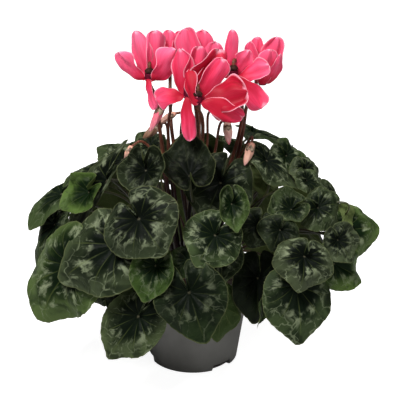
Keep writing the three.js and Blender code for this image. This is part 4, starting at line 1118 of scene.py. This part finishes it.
def petal_skin(nodes):
    """A petal: wine red at the throat, crimson as far as its own depth, rose in the middle and pink to the
    margin, with fine lengthwise streaks, cloudy blushes, painted fold shade, and a whitish edge that is
    partly a pale margin and partly a painted highlight. A faint glow of its own is painted light, standing in
    for the light that comes through it from behind."""
    uv = nodes.coords("UV")
    along = nodes.axis(uv, "Y")
    off = nodes.math("ABSOLUTE", nodes.minus(nodes.times(nodes.axis(uv, "X"), 2.0), 1.0))
    seed = nodes.value("seed")
    streak = nodes.noise(nodes.scaled(uv, (32.0, 1.6, 1.0)), 1.0, 4.0, seed)
    cloud = nodes.noise(nodes.scaled(uv, (4.0, 2.0, 1.0)), 1.0, 3.0, seed)
    shift = nodes.times(nodes.minus(streak, 0.5), 0.75)
    place = nodes.minus(nodes.plus(along, shift), nodes.value("depth"))
    skin = nodes.mix(nodes.span(along, 0.02, 0.2), (0.07, 0.001, 0.006), (0.3, 0.002, 0.013))
    skin = nodes.mix(nodes.span(place, -0.5, 0.15), skin, (0.42, 0.004, 0.02))
    skin = nodes.mix(nodes.span(place, 0.1, 0.5), skin, (0.67, 0.025, 0.085))
    skin = nodes.mix(nodes.span(place, 0.35, 0.75), skin, (0.74, 0.07, 0.165))
    skin = nodes.mix(nodes.span(place, 0.65, 1.05), skin, (0.84, 0.16, 0.29))
    blush = nodes.times(nodes.span(cloud, 0.35, 0.75), nodes.span(place, 0.1, 0.7, 0.05, 0.35))
    lines = nodes.times(nodes.span(streak, 0.46, 0.6), nodes.span(place, 0.9, 0.2, 0.15, 0.6))
    # Painted shade: darker cloudy patches stand in for the shade in the petal's folds.
    crease_shade = nodes.times(nodes.span(cloud, 0.52, 0.3), nodes.span(place, 1.0, 0.3, 0.1, 0.5))
    # The whitish edge is partly the petal's pale margin and partly a painted highlight along its edge.
    rim = nodes.math("MAXIMUM", nodes.span(off, 0.9, 0.99), nodes.span(along, 0.97, 0.998))
    skin = nodes.mix(blush, skin, (0.78, 0.14, 0.25))
    skin = nodes.mix(lines, skin, (0.42, 0.004, 0.03))
    skin = nodes.mix(crease_shade, skin, (0.42, 0.006, 0.03))
    skin = nodes.over(skin, rim, 0.75, (0.8, 0.36, 0.45))
    return {
        "Base Color": skin,
        "Roughness": 0.55,
        "Specular IOR Level": 0.2,
        # Painted light: the petal glows with its own colour, in place of light coming through it from behind.
        "Emission Color": skin,
        "Emission Strength": 0.17,
        "Normal": nodes.bump(streak, 0.25),
    }


def throat_skin(nodes):
    """The dark wine mouth of a bloom."""
    patch = nodes.noise(nodes.coords("Object"), 300.0, 2.0)
    base = nodes.mix(patch, (0.03, 0.001, 0.006), (0.16, 0.004, 0.025))
    return {"Base Color": base, "Roughness": 0.55, "Specular IOR Level": 0.1}


def furled(low, high, tip):
    """A bud's furled petals: from low at the calyx to high, streaked in a spiral, with a tip of its own."""

    def build(nodes):
        uv = nodes.coords("UV")
        along = nodes.axis(uv, "Y")
        spiral = nodes.plus(nodes.axis(uv, "X"), nodes.times(along, 0.35))
        lines = nodes.math("SINE", nodes.times(spiral, 5 * 2 * math.pi))
        patch = nodes.noise(nodes.coords("Object"), 320.0, 3.0)
        skin = nodes.mix(nodes.span(along, 0.1, 0.75), low, high)
        skin = nodes.mix(nodes.span(along, 0.7, 1.0), skin, tip)
        skin = nodes.over(skin, nodes.span(lines, 0.2, -1.0), 0.35, low)
        skin = nodes.over(skin, patch, 0.2, tip)
        return {"Base Color": skin, "Roughness": 0.5, "Normal": nodes.bump(patch, 0.2)}

    return build


def pot_skin(nodes):
    """Thin moulded plastic: warm dark grey with faint rings and a fine grain."""
    at = nodes.coords("Object")
    rings = nodes.math("SINE", nodes.times(nodes.axis(at, "Z"), 2600.0))
    grain = nodes.noise(at, 900.0, 3.0)
    cloud = nodes.use(MOTTLING, place=at, scale=28.0, detail=3.0, low=0.3, high=0.7,
                      dark=(0.135, 0.133, 0.122), light=(0.19, 0.187, 0.174))
    return {
        "Base Color": nodes.over(cloud["colour"], grain, 0.25, (0.19, 0.185, 0.172)),
        "Roughness": nodes.span(cloud["grain"], 0.3, 0.7, 0.42, 0.55),
        "Normal": nodes.bump(nodes.plus(nodes.times(rings, 0.12), grain), 0.12),
    }


def peat(nodes):
    """Dark crumbly compost with pale grains."""
    at = nodes.coords("Object")
    crumb = nodes.noise(at, 500.0, 6.0, distortion=0.4, roughness=0.65)
    cells = nodes.add("ShaderNodeTexVoronoi", Vector=at, Scale=420.0)
    grains = nodes.times(nodes.span(cells.outputs["Distance"], 0.2, 0.1), nodes.span(crumb, 0.6, 0.66))
    base = nodes.mix(nodes.span(crumb, 0.35, 0.65), (0.009, 0.006, 0.004), (0.05, 0.032, 0.02))
    base = nodes.mix(grains, base, (0.3, 0.27, 0.22))
    return {"Base Color": base, "Roughness": 0.95, "Normal": nodes.bump(crumb, 0.9, 0.0015)}


def cork(nodes):
    """Corky tuber skin: brown, cracked into plates."""
    at = nodes.coords("Object")
    cells = nodes.add("ShaderNodeTexVoronoi", dict(feature="DISTANCE_TO_EDGE"), Vector=at, Scale=260.0)
    cracks = nodes.span(cells.outputs["Distance"], 0.09, 0.0)
    skin = nodes.use(MOTTLING, place=at, scale=120.0, detail=5.0, low=0.3, high=0.7,
                     dark=(0.06, 0.03, 0.018), light=(0.17, 0.1, 0.065))
    base = nodes.mix(cracks, skin["colour"], (0.02, 0.011, 0.007))
    relief = nodes.minus(skin["grain"], cracks)
    return {"Base Color": base, "Roughness": 0.85, "Normal": nodes.bump(relief, 0.6, 0.001)}


def plain_floor(nodes):
    """A plain white studio floor, bright to the eye without lighting what stands on it."""
    seen = nodes.add("ShaderNodeLightPath").outputs["Is Camera Ray"]
    return {
        "Base Color": (0.6, 0.6, 0.6),
        "Roughness": 0.9,
        "Emission Color": (1, 1, 1),
        "Emission Strength": nodes.times(seen, 0.9),
    }


BLADE_TOP = material("marbled leaf", marbled)
BLADE_UNDER = material("leaf underside", underside)
STEM = material("leaf stalk", leaf_stem)
BLOOM_STEM = material("bloom stalk", flower_stem)
SEPALS = material("calyx", sepals)
BUD_SEPALS = material("bud calyx", bud_sepals)
PETAL_SKIN = material("petal", petal_skin)
THROAT_SKIN = material("throat", throat_skin)
PLASTIC = material("pot plastic", pot_skin)
PEAT = material("compost", peat)
CORK = material("tuber skin", cork)
FLOOR = material("floor", plain_floor)
BUD_SKINS = {
    "pink": material("pink bud", furled((0.75, 0.08, 0.15), (0.85, 0.2, 0.27), (0.9, 0.35, 0.4))),
    "peach": material("peach bud", furled((0.62, 0.3, 0.2), (0.8, 0.47, 0.36), (0.84, 0.42, 0.38))),
    "white": material("white bud", furled((0.8, 0.6, 0.45), (0.85, 0.42, 0.4), (0.85, 0.12, 0.2))),
    "brown": material("withered bloom", furled((0.13, 0.06, 0.035), (0.3, 0.16, 0.1), (0.2, 0.1, 0.06))),
}

# ------------------------------------------------------------------ plant
for bloom in BLOOMS:
    name = bloom["name"]
    piece(f"stem_{name}", bloom_stalk(bloom), [BLOOM_STEM, SEPALS], f"{name}_stalk")
    piece(f"petals_{name}", corolla(bloom), [PETAL_SKIN, THROAT_SKIN], f"{name}_corolla")

for spec in BUDS:
    name = spec["name"]
    piece(f"furled_{name}", bud(spec), [BLOOM_STEM, BUD_SEPALS, BUD_SKINS[spec["skin"]]], name)

families = {}
for leaf in LEAVES:
    families.setdefault(leaf.get("family", leaf["name"]), []).append(leaf)

roots = {leaf["name"]: take_socket(leaf["at"]) for leaf in LEAVES if "family" not in leaf}
seeds = {leaf["name"]: 1.7 * k for k, leaf in enumerate(LEAVES)}
for family, leaves in families.items():
    parts = [blade(leaf, seeds[leaf["name"]]) for leaf in leaves]
    parts += [leaf_stalk(leaf, roots[family]) for leaf in leaves]
    piece(f"foliage_{family}", join(parts), [BLADE_TOP, BLADE_UNDER, STEM], f"leaf_{family}")

# ------------------------------------------------------------------ pot
piece("pot_wall", pot(), [PLASTIC], "pot")
piece("compost_bed", compost(), [PEAT], "soil")
piece("corm", tuber(), [CORK], "tuber")

# ------------------------------------------------------------------ studio
bpy.ops.mesh.primitive_plane_add(size=12)
floor = bpy.context.object
floor.name = "studio_floor"
floor.data.materials.append(FLOOR)


def lamp(name, place, target, size, power):
    """A square soft light at `place` turned towards `target`, in metres and watts."""
    data = bpy.data.lights.new(name, "AREA")
    data.shape = "SQUARE"
    data.size = size
    data.energy = power
    obj = bpy.data.objects.new(name, data)
    bpy.context.scene.collection.objects.link(obj)
    obj.location = place
    obj.rotation_mode = "QUATERNION"
    obj.rotation_quaternion = (Vector(target) - Vector(place)).to_track_quat("-Z", "Y")


MIDDLE = (0, 0, 0.2)
lamp("key", (-0.55, -1.1, 1.7), MIDDLE, 0.45, 41)
lamp("fill", (1.3, -1.3, 0.8), MIDDLE, 1.0, 8)
lamp("top", (0.2, 0.4, 1.8), MIDDLE, 0.7, 17)

world = bpy.data.worlds.new("studio")
world.use_nodes = True
sky = world.node_tree.nodes["Background"]
sky.inputs["Color"].default_value = (1, 1, 1, 1)
sky.inputs["Strength"].default_value = 0.09
bpy.context.scene.world = world
bpy.context.scene.view_settings.view_transform = "Standard"

CAMERA = dict(aim=(0.007, 0, 0.1716), distance=1.5, lift=math.radians(22), lens=135, sensor=36)
camera_data = bpy.data.cameras.new("camera")
camera_data.lens = CAMERA["lens"]
camera_data.sensor_width = CAMERA["sensor"]
camera = bpy.data.objects.new("camera", camera_data)
bpy.context.scene.collection.objects.link(camera)
away = Vector((0, -math.cos(CAMERA["lift"]), math.sin(CAMERA["lift"])))
camera.location = Vector(CAMERA["aim"]) + CAMERA["distance"] * away
camera.rotation_euler = (math.pi / 2 - CAMERA["lift"], 0, 0)
bpy.context.scene.camera = camera
